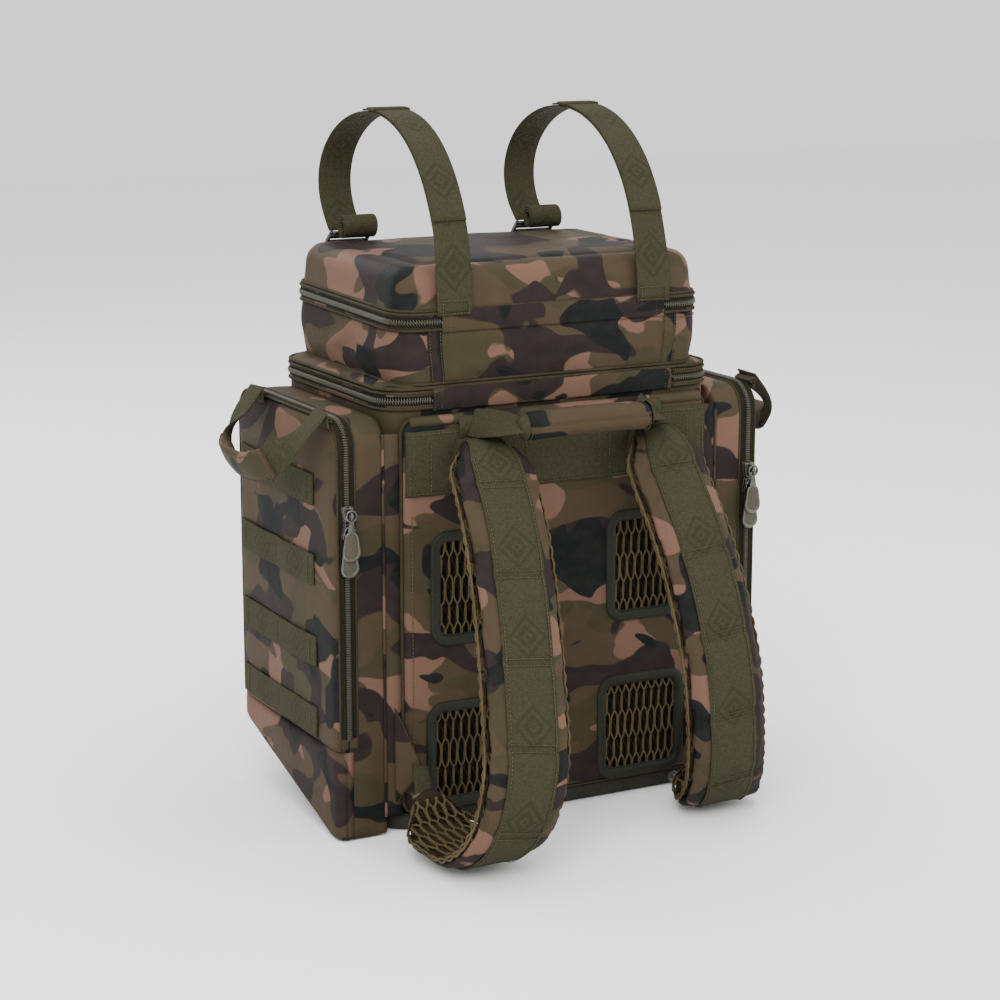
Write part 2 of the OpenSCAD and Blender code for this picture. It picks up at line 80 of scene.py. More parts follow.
EDGE_R = 16.0
HINGE_HALF = node_box("main_hinge_band")[1][0]
TOP_HINGE_HALF = node_box("top_hinge_band")[1][0]
PANEL_LOW, PANEL_HIGH = node_box("back_panel")
PANEL_HALF = PANEL_HIGH[0]
PANEL_Z0, PANEL_Z1 = PANEL_LOW[2], PANEL_HIGH[2]
BASE_WRAP = node_box("base_cover")[1][2]
POCKET_OUT = node_box("right_pocket_flap")[1][0]
POCKET_LIP = POCKET_OUT - node_box("right_pocket_flap")[0][0]
SPLIT_X = POCKET_OUT - POCKET_LIP - 0.3
POCKET_IN = HALF_W + 2.3
POCKET_Y0 = node_box("right_pocket_body")[0][1] - SHIFT_Y
POCKET_Y1 = node_box("right_pocket_body")[1][1] - SHIFT_Y
POCKET_TOP = node_box("right_pocket_body")[1][2]
POCKET_R = 26.0
FOLD_Z = node_box("right_pocket_flap")[0][2]
ZIP_END_Z = node_box("right_flap_zip")[0][2]
FRONT_LOW, FRONT_HIGH = node_box("front_pocket_body")
FRONT_HALF = FRONT_HIGH[0]
FRONT_Y1 = FRONT_HIGH[1] - SHIFT_Y
FRONT_Z0, FRONT_TOP = FRONT_LOW[2], FRONT_HIGH[2]
FRONT_SPLIT = FRONT_Y1 - POCKET_LIP - 0.3
WINDOWS = ((96, 239, 86, 112), (94, 74.5, 100, 106))      # half spacing, centre z, width, height
WINDOW_R = 18.0
STRAP_X = 105.0
STRAP_W = 36.0
ROW_Z = (109, 179, 259, 336)
ROW_W = 30.0


def ease(t):
    t = max(0.0, min(1.0, t))
    return t * t * (3 - 2 * t)


LID_SPREAD = 0.024       # how much wider the soft lid compartment spreads
LID_DROP = 2.0           # how far it settles on the front side, and the more towards the harness side
LID_TILT = 5.5


def place(x, y, z):
    """A point of the working frame (mm, harness face at y = 0) in the row frame (m), with the lid settled."""
    soft = ease((z - MAIN_ZIP - 12) / 50) * (1 - ease((z - COVER_TOP + 30) / 60))
    near = 1 - max(0.0, min(1.0, y / DEPTH))
    x *= 1 + LID_SPREAD * soft
    z -= soft * (LID_DROP + LID_TILT * near)
    return Vector((x * MM, (y + SHIFT_Y) * MM, z * MM))


# ---------------------------------------------------------------- colours
def srgb(r, g, b):
    """Linear colour from 8-bit sRGB values."""
    def linear(c):
        c /= 255
        return c / 12.92 if c <= 0.04045 else ((c + 0.055) / 1.055) ** 2.4
    return (linear(r), linear(g), linear(b), 1.0)


BROWN = srgb(66, 54, 39)
TAN = srgb(106, 79, 66)
PLUM = srgb(36, 26, 27)
INK = srgb(14, 17, 19)
MOSS = srgb(57, 51, 34)
OLIVE = srgb(56, 54, 39)
ZIP_OLIVE = srgb(34, 31, 23)
BASE_GREY = srgb(44, 44, 38)
STRAND = srgb(78, 67, 46)


# ---------------------------------------------------------------- node helpers
class Nodes:
    """A material being built: add() makes a node, link() joins two sockets."""

    def __init__(self, name):
        self.material = bpy.data.materials.new(name)
        self.material.use_nodes = True
        self.tree = self.material.node_tree
        self.shader = self.tree.nodes["Principled BSDF"]

    def add(self, kind, **settings):
        made = self.tree.nodes.new(kind)
        for key, value in settings.items():
            setattr(made, key, value)
        return made

    def set(self, node, socket, value):
        """Sets a socket to a number or colour, or links another node's output to it."""
        if isinstance(value, (int, float, tuple)):
            node.inputs[socket].default_value = value
        else:
            self.link(value, node.inputs[socket])

    def link(self, source, target):
        self.tree.links.new(source, target)

    def made(self, kind, output, sockets, **settings):
        """Adds a node, sets its sockets and returns one of its outputs."""
        node = self.add(kind, **settings)
        for socket, value in sockets.items():
            self.set(node, socket, value)
        return node.outputs[output]

    def math(self, operation, a, b=None):
        return self.made("ShaderNodeMath", 0, {0: a} if b is None else {0: a, 1: b}, operation=operation)

    def plus(self, a, b):
        return self.math("ADD", a, b)

    def times(self, a, b):
        return self.math("MULTIPLY", a, b)

    def minus(self, a, b):
        return self.math("SUBTRACT", a, b)

    def greatest(self, a, b, c):
        return self.math("MAXIMUM", self.math("MAXIMUM", a, b), c)

    def mix(self, factor, a, b):
        return self.made("ShaderNodeMix", 2, {0: factor, 6: a, 7: b}, data_type="RGBA")

    def step(self, value, low, high):
        """Smooth 0 to 1 as value goes from low to high."""
        return self.made("ShaderNodeMapRange", "Result", {"Value": value, "From Min": low, "From Max": high},
                         interpolation_type="SMOOTHSTEP")

    def noise(self, vector, scale, detail=2.0, rough=0.5, distortion=0.0):
        return self.made("ShaderNodeTexNoise", "Fac", {"Vector": vector, "Scale": scale, "Detail": detail,
                                                       "Roughness": rough, "Distortion": distortion})

    def wave(self, vector, scale, direction):
        return self.made("ShaderNodeTexWave", "Fac", {"Vector": vector, "Scale": scale}, bands_direction=direction)

    def mapped(self, vector, location, scale=(1, 1, 1)):
        return self.made("ShaderNodeMapping", "Vector", {"Vector": vector, "Location": location, "Scale": scale})

    def object_space(self):
        return self.add("ShaderNodeTexCoord").outputs["Object"]

    def bump(self, height, strength, distance):
        normal = self.made("ShaderNodeBump", "Normal", {"Strength": strength, "Distance": distance,
                                                        "Height": height})
        self.link(normal, self.shader.inputs["Normal"])

    def finish(self, color, roughness, specular, metallic=0.0):
        for socket, value in (("Base Color", color), ("Roughness", roughness), ("Specular IOR Level", specular),
                              ("Metallic", metallic)):
            self.set(self.shader, socket, value)
        return self.material


WEAVE = 1.35 * MM        # one thread pair of the coated bag fabric
CAMO_SCALE = 14.0        # blotches about 45 mm across
BLOTCH_STRETCH = (0.84, 0.84, 1.25)                       # blotches lie wider than they stand
BLOTCH_EDGE = 0.006      # how soft a blotch's edge is
DUST = srgb(100, 92, 76)
THREAD_GAP = (0.02, 0.02, 0.018, 1.0)
CAMO_LAYERS = (          # ink, where its noise starts, size and how rare it is
    (MOSS, (3.1, 0.4, 1.7), 1.0, 0.53),
    (TAN, (0.9, 5.2, 2.3), 1.05, 0.572),
    (PLUM, (7.7, 1.1, 4.9), 1.0, 0.555),
    (INK, (2.2, 8.4, 6.1), 1.12, 0.59),
)
MOTIF_PERIOD = 0.082     # metres from one woven diamond to the next


def shades(color, low, high):
    """A darker and a lighter version of a colour."""
    return tuple(c * low for c in color[:3]) + (1.0,), tuple(min(1.0, c * high) for c in color[:3]) + (1.0,)


def camo(name, offset, gloss=0.62):
    """Printed woodland pattern: four layers of blotches with clean edges on a brown ground."""
    n = Nodes(name)
    space = n.mapped(n.object_space(), offset, BLOTCH_STRETCH)
    color = BROWN
    for ink, move, size, level in CAMO_LAYERS:
        blotch = n.noise(n.mapped(space, move), CAMO_SCALE * size, 1.6, 0.42, 0.55)
        color = n.mix(n.step(blotch, level - BLOTCH_EDGE, level + BLOTCH_EDGE), color, ink)
    soil = n.noise(space, 60.0, 4.0, 0.6)
    color = n.mix(n.times(n.step(soil, 0.35, 0.75), 0.06), color, DUST)
    fine = n.noise(space, 900.0, 2.0, 0.6)
    color = n.mix(n.times(fine, 0.35), color, THREAD_GAP)
    turns = 2 * pi / 20 / WEAVE
    weave = n.greatest(*(n.wave(space, turns, axis) for axis in "XYZ"))
    folds = n.noise(space, 17.0, 3.0, 0.55, 0.6)
    height = n.plus(n.plus(n.times(weave, 0.5), n.times(soil, 0.6)), n.times(folds, 11.0))
    n.bump(height, 0.45, 0.35 * MM)
    return n.finish(color, n.plus(n.times(soil, 0.2), gloss - 0.1), 0.06)


def webbing(name, color, pattern=0.0, rib=1.5):
    """Woven webbing. UV runs in metres along and across; pattern adds a tonal woven motif."""
    n = Nodes(name)
    split = n.add("ShaderNodeSeparateXYZ")
    n.link(n.add("ShaderNodeTexCoord").outputs["UV"], split.inputs[0])
    along, across = split.outputs[0], split.outputs[1]
    ribs = n.math("SINE", n.times(along, 2 * pi / (rib * MM)))
    cords = n.math("SINE", n.times(across, 2 * pi / (2.2 * MM)))
    grain = n.noise(n.object_space(), 420.0, 3.0, 0.6)
    shade = n.plus(n.times(n.times(ribs, cords), 0.12), n.times(grain, 0.5))
    dark, light = shades(color, 0.55, 1.18)
    tone = n.mix(n.step(shade, 0.02, 0.48), dark, light)
    if pattern:
        phase = n.minus(n.math("FRACT", n.math("DIVIDE", along, MOTIF_PERIOD)), 0.5)
        diagonal = n.plus(n.times(n.math("ABSOLUTE", phase), MOTIF_PERIOD), n.math("ABSOLUTE", across))

        def past(distance):
            return n.step(diagonal, distance * MM, (distance + 0.8) * MM)

        motif = n.greatest(n.minus(past(5.5), past(11)), n.minus(1.0, past(2.4)), n.minus(past(16), past(20)))
        tone = n.mix(n.times(motif, pattern), tone, dark)
    n.bump(n.plus(n.times(ribs, 0.5), n.times(cords, 0.35)), 0.7, 0.28 * MM)
    return n.finish(tone, 0.78, 0.07)


def cloth(name, color, roughness=0.8, scale=300.0, bump=0.3, specular=0.08):
    """Plain woven cloth with slight colour variation."""
    n = Nodes(name)
    space = n.object_space()
    grain = n.noise(space, scale, 4.0, 0.62)
    patches = n.noise(space, 26.0, 3.0, 0.5)
    share = n.step(n.plus(n.times(grain, 0.6), n.times(patches, 0.4)), 0.36, 0.64)
    n.bump(grain, bump, 0.4 * MM)
    return n.finish(n.mix(share, *shades(color, 0.68, 1.22)), roughness, specular)


def plated(name, color, roughness):
    """Plated metal with fine wear."""
    n = Nodes(name)
    wear = n.noise(n.object_space(), 260.0, 5.0, 0.7)
    n.bump(wear, 0.12, 0.1 * MM)
    tone = n.mix(n.step(wear, 0.35, 0.7), shades(color, 0.75, 1.0)[0], color)
    return n.finish(tone, n.plus(n.times(wear, 0.25), roughness - 0.12), 0.5, 1.0)


CAMO_PANEL = camo("camo_panel", (0.00, 0.00, 0.00))
CAMO_BODY = camo("camo_body", (1.31, 0.72, 0.43))
CAMO_LID = camo("camo_lid", (2.17, 1.33, 0.91))
CAMO_COVER = camo("camo_cover", (3.57, 0.21, 2.71), 0.55)
CAMO_FLAP = camo("camo_flap", (4.83, 2.64, 0.33))
CAMO_STRAP = camo("camo_strap", (0.57, 4.19, 1.87))
CAMO_TRIM = camo("camo_trim", (6.11, 3.37, 2.29))
WEB = webbing("olive_webbing", OLIVE)
WEB_PATTERN = webbing("patterned_webbing", OLIVE, pattern=0.55)
ZIP_TAPE = webbing("zip_tape", ZIP_OLIVE, rib=1.0)
COIL = cloth("zip_coil", srgb(54, 51, 37), 0.42, 700.0, 0.15, 0.4)
BASE_CLOTH = cloth("base_cloth", BASE_GREY, 0.6, 520.0, 0.35)
LINING = cloth("dark_lining", srgb(38, 38, 33), 0.75, 420.0, 0.3)
PIPING = cloth("piping", srgb(50, 45, 32), 0.7, 600.0, 0.3)
PIPING_DARK = cloth("rim_cloth", srgb(32, 33, 26), 0.6, 650.0, 0.3, 0.16)
# A near-black cloth for the sheet behind the window meshes: painted shade in the window recesses.
WINDOW_SHADE_CLOTH = cloth("mesh_shadow", srgb(22, 20, 15), 0.95, 300.0, 0.2, 0.1)
STITCH = cloth("stitch", srgb(74, 70, 50), 0.6, 900.0, 0.2)
MESH_STRAND = cloth("mesh_strand", STRAND, 0.7, 800.0, 0.35)
# A darker copy of the mesh strand colour: painted shade on the rear mesh layers and the pad undersides.
SHADED_MESH_BACK = cloth("shaded_mesh_back", srgb(40, 34, 23), 0.85, 700.0, 0.3)
GUNMETAL = plated("gunmetal", srgb(98, 96, 90), 0.36)
DARK_METAL = plated("dark_metal", srgb(92, 92, 87), 0.42)
INLAY = cloth("puller_inlay", srgb(62, 60, 45), 0.5, 500.0, 0.1, 0.3)
PLASTIC = cloth("buckle_plastic", srgb(24, 25, 22), 0.38, 240.0, 0.12, 0.5)


# ---------------------------------------------------------------- mesh helpers
class Shape:
    """Vertices and faces being gathered; points are in the working frame, in millimetres."""

    def __init__(self):
        self.points = []
        self.faces = []
        self.uvs = []
        self.slots = []

    def cap(self, indices, slot=0, flip=False):
        self.faces.append(tuple(indices)[::-1] if flip else tuple(indices))
        self.slots.append(slot)

    def grid(self, rows, close_u=False, close_v=False, uv=None, slot=0, flip=False):
        """Joins rows of points into quads. close_u joins each row's ends, close_v the first and last row."""
        start = len(self.points)
        count = len(rows[0])
        for r, row in enumerate(rows):
            self.points.extend(row)
            self.uvs.extend(uv[r] if uv else [(0.0, 0.0)] * count)
        for r in range(len(rows) if close_v else len(rows) - 1):
            below = start + r * count
            above = start + ((r + 1) % len(rows)) * count
            for c in range(count if close_u else count - 1):
                d = (c + 1) % count
                self.cap((below + c, below + d, above + d, above + c), slot, flip)
        return start

    def tube(self, rows, uv=None, slot=0, far_end=True):
        """Closed rings of points joined into a tube with its ends capped."""
        start = self.grid(rows, close_u=True, uv=uv, slot=slot)
        count = len(rows[0])
        self.cap(range(start, start + count), slot, flip=True)
        if far_end:
            self.cap(range(start + (len(rows) - 1) * count, start + len(rows) * count), slot)

    def build(self, name, materials):
        mesh = bpy.data.meshes.new(name)
        mesh.from_pydata([place(*p) for p in self.points], [], self.faces)
        layer = mesh.uv_layers.new(name="UVMap")
        for loop in mesh.loops:
            layer.data[loop.index].uv = self.uvs[loop.vertex_index]
        for material in materials:
            mesh.materials.append(material)
        for polygon, slot in zip(mesh.polygons, self.slots):
            polygon.material_index = slot
            polygon.use_smooth = True
        mesh.validate()
        mesh.update()
        piece = bpy.data.objects.new(name, mesh)
        bpy.context.collection.objects.link(piece)
        return piece


AWAY = (0, -1, 0)        # out of the harness side


def unit(v):
    length = sqrt(sum(c * c for c in v)) or 1.0
    return [c / length for c in v]


def cross(a, b):
    return [a[1] * b[2] - a[2] * b[1], a[2] * b[0] - a[0] * b[2], a[0] * b[1] - a[1] * b[0]]


def add(a, b, k=1.0):
    return [x + k * y for x, y in zip(a, b)]


def dot(a, b):
    return sum(x * y for x, y in zip(a, b))


def spread(a, b, n):
    """n + 1 evenly spaced numbers from a to b."""
    return [a + (b - a) * i / n for i in range(n + 1)]


def working(point):
    """A mesh point (m) as a point of the working frame (mm)."""
    x, y, z = point
    return x / MM, y / MM - SHIFT_Y, z / MM


def sub(a, b):
    return [x - y for x, y in zip(a, b)]


def mixed(a, b, t):
    return [x + (y - x) * t for x, y in zip(a, b)]


def ripple(x, y, z, scale, seed=0.0):
    """Smooth repeatable noise, about -1 to 1; scale is the size of a wave in mm."""
    return noise.noise(Vector((x / scale + seed, y / scale - seed, z / scale + 2 * seed)))


def path_frames(path, up, closed=False):
    """Tangent, side and out vectors along a path; up is a vector or one vector a point."""
    frames = []
    count = len(path)
    for i in range(count):
        if closed:
            tangent = unit(sub(path[(i + 1) % count], path[i - 1]))
        else:
            tangent = unit(sub(path[min(i + 1, count - 1)], path[max(i - 1, 0)]))
        wanted = up[i] if isinstance(up[0], (list, tuple)) else up
        side = unit(cross(wanted, tangent))
        frames.append((tangent, side, unit(cross(tangent, side))))
    return frames


def lengths(path):
    """Running length at each point of a path."""
    total = [0.0]
    for a, b in zip(path, path[1:]):
        total.append(total[-1] + sqrt(sum((x - y) ** 2 for x, y in zip(a, b))))
    return total


def strip_section(width, thick):
    """Cross section of a flat strip with round edges: (side, out) points."""
    flat, r = (width - thick) / 2, thick / 2
    points = []
    for side in (1, -1):
        turn = [side * pi / 2 * (2 * i / 3 - 1) for i in range(4)]
        points += [(side * (flat + r * cos(a)), r * sin(a)) for a in turn]
        points += [(side * flat * t, side * r) for t in (0.5, 0.0, -0.5)]
    return points


def round_section(radius, sides=8):
    return [(radius * cos(2 * pi * i / sides), radius * sin(2 * pi * i / sides)) for i in range(sides)]


def sweep(shape, path, up, section, closed=False, scales=None):
    """Sweeps a section along a path into the shape. UV is metres along and across."""
    rows, uvs = [], []
    for i, (point, along, (_, side, out)) in enumerate(zip(path, lengths(path), path_frames(path, up, closed))):
        k = scales[i] if scales else 1.0
        rows.append([add(add(point, side, s * k), out, o) for s, o in section])
        uvs.append([(along * MM, s * k * MM) for s, _ in section])
    if closed:
        shape.grid(rows, close_u=True, close_v=True, uv=uvs)
    else:
        shape.tube(rows, uvs)


def rectangle_path(x0, y0, x1, y1, r, step=4.0):
    """Points and outward normals round a rounded rectangle, anticlockwise from the middle of its low side."""
    points = []

    def line(a, b, normal):
        n = max(1, round(hypot(b[0] - a[0], b[1] - a[1]) / step))
        points.extend((*mixed(a, b, i / n), *normal) for i in range(n))

    turns = max(4, round(r * pi / 2 / step))
    start = middle = ((x0 + x1) / 2, y0)
    normal = (0, -1)
    for cx, cy, degrees in ((x1 - r, y0 + r, -90), (x1 - r, y1 - r, 0), (x0 + r, y1 - r, 90), (x0 + r, y0 + r, 180)):
        turn = [(cos(radians(degrees + 90 * i / turns)), sin(radians(degrees + 90 * i / turns)))
                for i in range(turns + 1)]
        corner = [(cx + r * nx, cy + r * ny) for nx, ny in turn]
        line(start, corner[0], normal)
        points.extend((*point, *away) for point, away in zip(corner[:-1], turn))
        start, normal = corner[-1], turn[-1]
    line(start, middle, normal)
    return points


BODY_PATH = rectangle_path(-HALF_W, WALL_Y0, HALF_W, DEPTH, CORNER_R)
TRAY_PATH = rectangle_path(-TRAY_HALF, TRAY_Y0, TRAY_HALF, TRAY_Y1, TRAY_R)


def ring_at(path, offset, z):
    return [(x + nx * offset, y + ny * offset, z) for x, y, nx, ny in path]


def floor_sheet(name, half, y0, y1, r, z, cells, wave, seed):
    """A lining sheet that fills a rounded plan rectangle."""
    middle, depth = (y0 + y1) / 2, (y1 - y0) / 2
    rows = []
    for j, v in enumerate(spread(-depth, depth, cells[1])):
        row = []
        for i, u in enumerate(spread(-half, half, cells[0])):
            du, dv = max(abs(u) - half + r, 0.0), max(abs(v) - depth + r, 0.0)
            k = min(1.0, r / (hypot(du, dv) or r))
            x, y = copysign(abs(u) - du * (1 - k), u), copysign(abs(v) - dv * (1 - k), v)
            row.append((x, middle + y, z + 0.8 * ripple(i * wave[0], j * wave[1], seed, wave[2])))
        rows.append(row)
    shape = Shape()
    shape.grid(rows)
    return shape.build(name, [LINING])


def fit(piece, body, slot, *nodes):
    """Gives a piece its body and the CAD nodes it stands for; slot is not used."""
    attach(piece, body)
    if nodes:
        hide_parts(*nodes)
    return piece


def solidify(piece, thickness, inner_slot=1, offset=-1.0):
    """Gives a sheet its thickness inwards, with the lining on the inside."""
    modifier = piece.modifiers.new("thickness", "SOLIDIFY")
    modifier.thickness = thickness * MM
    modifier.offset = offset
    modifier.material_offset = inner_slot
    modifier.material_offset_rim = 0
    return piece


def fabric(name, rows, materials, thickness, body, *nodes, inner_slot=1, slot="camo_fabric", **joined):
    """A sheet through rows of points, given its thickness and fitted to its body; joined goes to Shape.grid."""
    shape = Shape()
    shape.grid(rows, **joined)
    return fit(solidify(shape.build(name, materials), thickness, inner_slot), body, slot, *nodes)


def piping(name, path, radius, body, up=(0, 0, 1), closed=False, material=PIPING):
    shape = Shape()
    sweep(shape, path, up, round_section(radius), closed)
    return fit(shape.build(name, [material]), body, "camo_fabric")


def prism(shape, outline, z0, z1, bevel, to_point):
    """A plate with rounded edges from a flat outline; to_point turns (x, y, z) into the working frame."""
    cx, cy = (sum(p[i] for p in outline) / len(outline) for i in (0, 1))

    def ring(inset, z):
        row = []
        for x, y in outline:
            r = hypot(x - cx, y - cy) or 1.0
            k = (r - inset) / r
            row.append(to_point(cx + (x - cx) * k, cy + (y - cy) * k, z))
        return row

    shape.tube([ring(bevel, z0), ring(bevel * 0.3, z0 + bevel * 0.3), ring(0, z0 + bevel),
                ring(0, z1 - bevel), ring(bevel * 0.3, z1 - bevel * 0.3), ring(bevel, z1)])


def turned(shape, profile, to_point, sides=24):
    """A turned part from (radius, height) points about the local z axis."""
    shape.tube([[to_point(x, y, height) for x, y in round_section(radius, sides)] for radius, height in profile])


def along_path(path, closed=False):
    """Returns at(s) giving a point and the running length of a path of tuples of any size."""
    points = list(path) + ([path[0]] if closed else [])
    total = [0.0]
    for a, b in zip(points, points[1:]):
        total.append(total[-1] + sqrt(sum((b[i] - a[i]) ** 2 for i in range(2 if len(a) == 4 else 3))))

    def at(s):
        s = max(0.0, min(total[-1], s))
        low, high = 0, len(total) - 1
        while high - low > 1:
            middle = (low + high) // 2
            if total[middle] <= s:
                low = middle
            else:
                high = middle
        span = total[high] - total[low] or 1.0
        return mixed(points[low], points[high], (s - total[low]) / span)

    return at, total[-1]


TAPE_PROFILE = ((0.35, -0.6), (0.35, 0.5), (2.4, 0.9), (2.9, 1.5), (3.8, 1.6), (4.4, 0.8), (5.74, 0.6), (8.2, 0.4))
COIL_TURN = ((-0.9, 1.0, 0.55), (-0.2, 1.9, 1.0), (1.4, 2.05, 1.0), (2.7, 1.1, 0.75))     # reach, lift, size


THREAD = 0.42            # thickness of most stitches


def sewn(tacks, name, body):
    """Fits a shape full of stitches to the body that they are sewn on."""
    return fit(tacks.build(name, [STITCH]), body, "olive_webbing")


def zip_half(name, path, normals, across, sign, body, *nodes, pitch=2.5):
    """One half of a coil zip. path runs along the chain, across points from the lower to the upper half."""
    shape = Shape()
    along = lengths(path)
    shape.grid([[add(add(point, across, sign * s), normal, h) for s, h in TAPE_PROFILE]
                for point, normal in zip(path, normals)],
               uv=[[(length * MM, s * MM) for s, _ in TAPE_PROFILE] for length in along])
    index = 0
    for k in range(int(along[-1] / pitch)):
        s = (k + (0.25 if sign > 0 else 0.75)) * pitch
        while index < len(path) - 2 and along[index + 1] < s:
            index += 1
        t = (s - along[index]) / max(1e-6, along[index + 1] - along[index])
        point = mixed(path[index], path[index + 1], t)
        normal = unit(mixed(normals[index], normals[index + 1], t))
        tangent = unit(cross(normal, across))
        rows = []
        for reach, lift, size in COIL_TURN:
            centre = add(add(add(point, across, sign * reach), normal, lift), tangent, 0.35 * reach * sign)
            rows.append([add(add(centre, tangent, 0.85 * a), normal, b) for a, b in round_section(1.05 * size, 6)])
        shape.tube(rows, slot=1, far_end=False)
    return fit(shape.build(name, [ZIP_TAPE, COIL]), body, "zip_tape", *nodes)


def stitches(shape, path, normals, pitch=4.2, size=0.45):
    """A row of stitches lying along a path. normals is a vector, or gives one at a length along it."""
    at, total = along_path([tuple(p) for p in path])
    for k in range(int(total / pitch)):
        a, b = at((k + 0.12) * pitch), at((k + 0.74) * pitch)
        normal = normals(k * pitch) if callable(normals) else normals
        line = [add(mixed(a, b, t), normal, h) for t, h in
                ((0, -0.2), (0.2, size * 0.8), (0.5, size * 1.1), (0.8, size * 0.8), (1, -0.2))]
        sweep(shape, line, normal, round_section(size, 5))


def smooth_path(points, step=5.0):
    """Catmull-Rom curve through points, sampled about every step mm."""
    curve = []
    for i in range(len(points) - 1):
        a, b, c = points[max(i - 1, 0)], points[i], points[i + 1]
        d = points[min(i + 2, len(points) - 1)]
        n = max(2, int(lengths((b, c))[1] / step))
        for k in range(n):
            t = k / n
            curve.append([0.5 * (2 * q + (r - p) * t + (2 * p - 5 * q + 4 * r - w) * t * t
                                 + (3 * q - p - 3 * r + w) * t ** 3) for p, q, r, w in zip(a, b, c, d)])
    curve.append(list(points[-1]))
    return curve


def bezier(p, t):
    return [(1 - t) ** 3 * a + 3 * t * (1 - t) ** 2 * b + 3 * t * t * (1 - t) * c + t ** 3 * d
            for a, b, c, d in zip(*p)]


def puff(piece, pressure=4.0, voxel=5.0, limit=3.0):
    """Blows a closed soft piece up with cloth, like foam in a sewn cover. No point moves more than limit mm."""
    remesh = piece.modifiers.new("remesh", "REMESH")
    remesh.mode = "VOXEL"
    remesh.voxel_size = voxel * MM
    bake_modifiers(piece)
    rest = [v.co.copy() for v in piece.data.vertices]
    pressed = piece.modifiers.new("cloth", "CLOTH")
    for name, value in (("use_pressure", True), ("uniform_pressure_force", pressure), ("mass", 0.3),
                        ("tension_stiffness", 30), ("compression_stiffness", 20), ("shear_stiffness", 10),
                        ("bending_stiffness", 0.8)):
        setattr(pressed.settings, name, value)
    pressed.settings.effector_weights.gravity = 0.0
    pressed.collision_settings.use_collision = False
    pressed.point_cache.frame_start = 1
    pressed.point_cache.frame_end = 20
    for number in range(1, 21):
        bpy.context.scene.frame_set(number)
    bake_modifiers(piece)
    bpy.context.scene.frame_set(1)
    for vertex, start in zip(piece.data.vertices, rest):
        move = vertex.co - start
        if move.length > limit * MM:
            vertex.co = start + move.normalized() * limit * MM
    rounding = piece.modifiers.new("round", "SUBSURF")
    rounding.levels = rounding.render_levels = 1
    bake_modifiers(piece)
    for polygon in piece.data.polygons:
        polygon.use_smooth = True
    return piece


def bake_modifiers(piece):
    """Turns a piece's modifiers into its mesh."""
    depsgraph = bpy.context.evaluated_depsgraph_get()
    depsgraph.update()
    mesh = bpy.data.meshes.new_from_object(piece.evaluated_get(depsgraph), depsgraph=depsgraph)
    materials = [m for m in piece.data.materials]
    piece.modifiers.clear()
    piece.data = mesh
    if not mesh.materials:
        for material in materials:
            mesh.materials.append(material)


def each_vertex(piece, change):
    """Moves a piece's vertices: change takes and returns a point in the working frame, in mm."""
    for vertex in piece.data.vertices:
        vertex.co = place(*change(working(vertex.co)))
    piece.data.update()
    return piece


def surface_tree(piece):
    """A piece's surface, ready for surface_point."""
    return BVHTree.FromPolygons([v.co.copy() for v in piece.data.vertices],
                                [tuple(p.vertices) for p in piece.data.polygons])


def surface_point(tree, point, out, lift):
    """Where a line from outside meets the surface over a point, lifted off by lift mm."""
    hit = tree.ray_cast(place(*add(point, out, 25)), -Vector(out), 32 * MM)[0]
    return add(point, out, PAD_T / 2 + lift) if hit is None else add(working(hit), out, lift)


# ---------------------------------------------------------------- main compartment
FLOOR_Z = 8              # lining on the bag's floor
RIVET_INSET, RIVET_Z = 42, 9
RIVET_PROFILE = ((6.5, 0), (6.5, 0.9), (5.9, 1.5), (4.6, 1.7), (3.8, 1.2), (3.2, 0.9), (2.6, 1.2), (1.4, 1.6),
                 (0.3, 1.7))                              # radius, height


def body_bulge(x, y, nx, ny, z):
    """How far the soft wall stands out from the plain box."""
    t = max(0.0, min(1.0, (z - BASE_T) / (MAIN_ZIP - TAPE_H - BASE_T)))
    swell = sin(pi * t) ** 0.7
    amount = swell * (0.8 * abs(nx) + 0.5 * max(ny, 0.0))
    return amount + 0.8 * swell * ripple(x, y, z * 0.7, 45.0, 3.1)


def bulged(path, bulge, levels):
    """Rings of a soft wall: a plan outline at each level, moved outwards by bulge(x, y, nx, ny, z)."""
    return [[add((x, y, z), (nx, ny, 0), bulge(x, y, nx, ny, z)) for x, y, nx, ny in path] for z in levels]


def make_body():
    fabric("bag_body", bulged(BODY_PATH, body_bulge, spread(BASE_T, MAIN_ZIP - TAPE_H, 80)), [CAMO_BODY, LINING], 4.0,
           "pack", "body_shell", close_u=True)
    fit(floor_sheet("bag_floor", HALF_W - 4, WALL_Y0 + 4, DEPTH - 4, CORNER_R - 4, FLOOR_Z, (30, 22), (12, 10, 60), 0),
        "pack", "camo_fabric")

    skin = Shape()
    profile = [(-30, 0.3), (-10, 0.2), (-5, 0.4), (-1.2, 1.3), (1.0, 3.6), (1.9, 7.0),
               (2.0, BASE_WRAP - 4), (2.2, BASE_WRAP - 1.4), (1.4, BASE_WRAP), (0.0, BASE_WRAP - 0.4)]
    start = skin.grid([ring_at(BODY_PATH, d, h) for d, h in profile], close_u=True)
    skin.cap(range(start, start + len(BODY_PATH)), flip=True)
    for drop in (2.4, 0.6):
        sweep(skin, ring_at(BODY_PATH, 2.3, BASE_WRAP - drop), (0, 0, 1), round_section(0.9, 6), closed=True)
    fit(skin.build("base_skin", [BASE_CLOTH]), "pack", "base_fabric", "base_cover")

    rivets = Shape()
    for side in (-1, 1):
        for y, out in ((WALL_Y0 - 2, -1), (DEPTH + 2, 1)):
            turned(rivets, RIVET_PROFILE,
                   lambda px, py, pz: (side * (HALF_W - RIVET_INSET) + px, y + out * pz, RIVET_Z + py))
    fit(rivets.build("base_studs", [DARK_METAL]), "pack", "rivet_metal", "base_rivets")


# ---------------------------------------------------------------- harness panel and its windows
PANEL_Y = -4.0
PANEL_R = 14.0


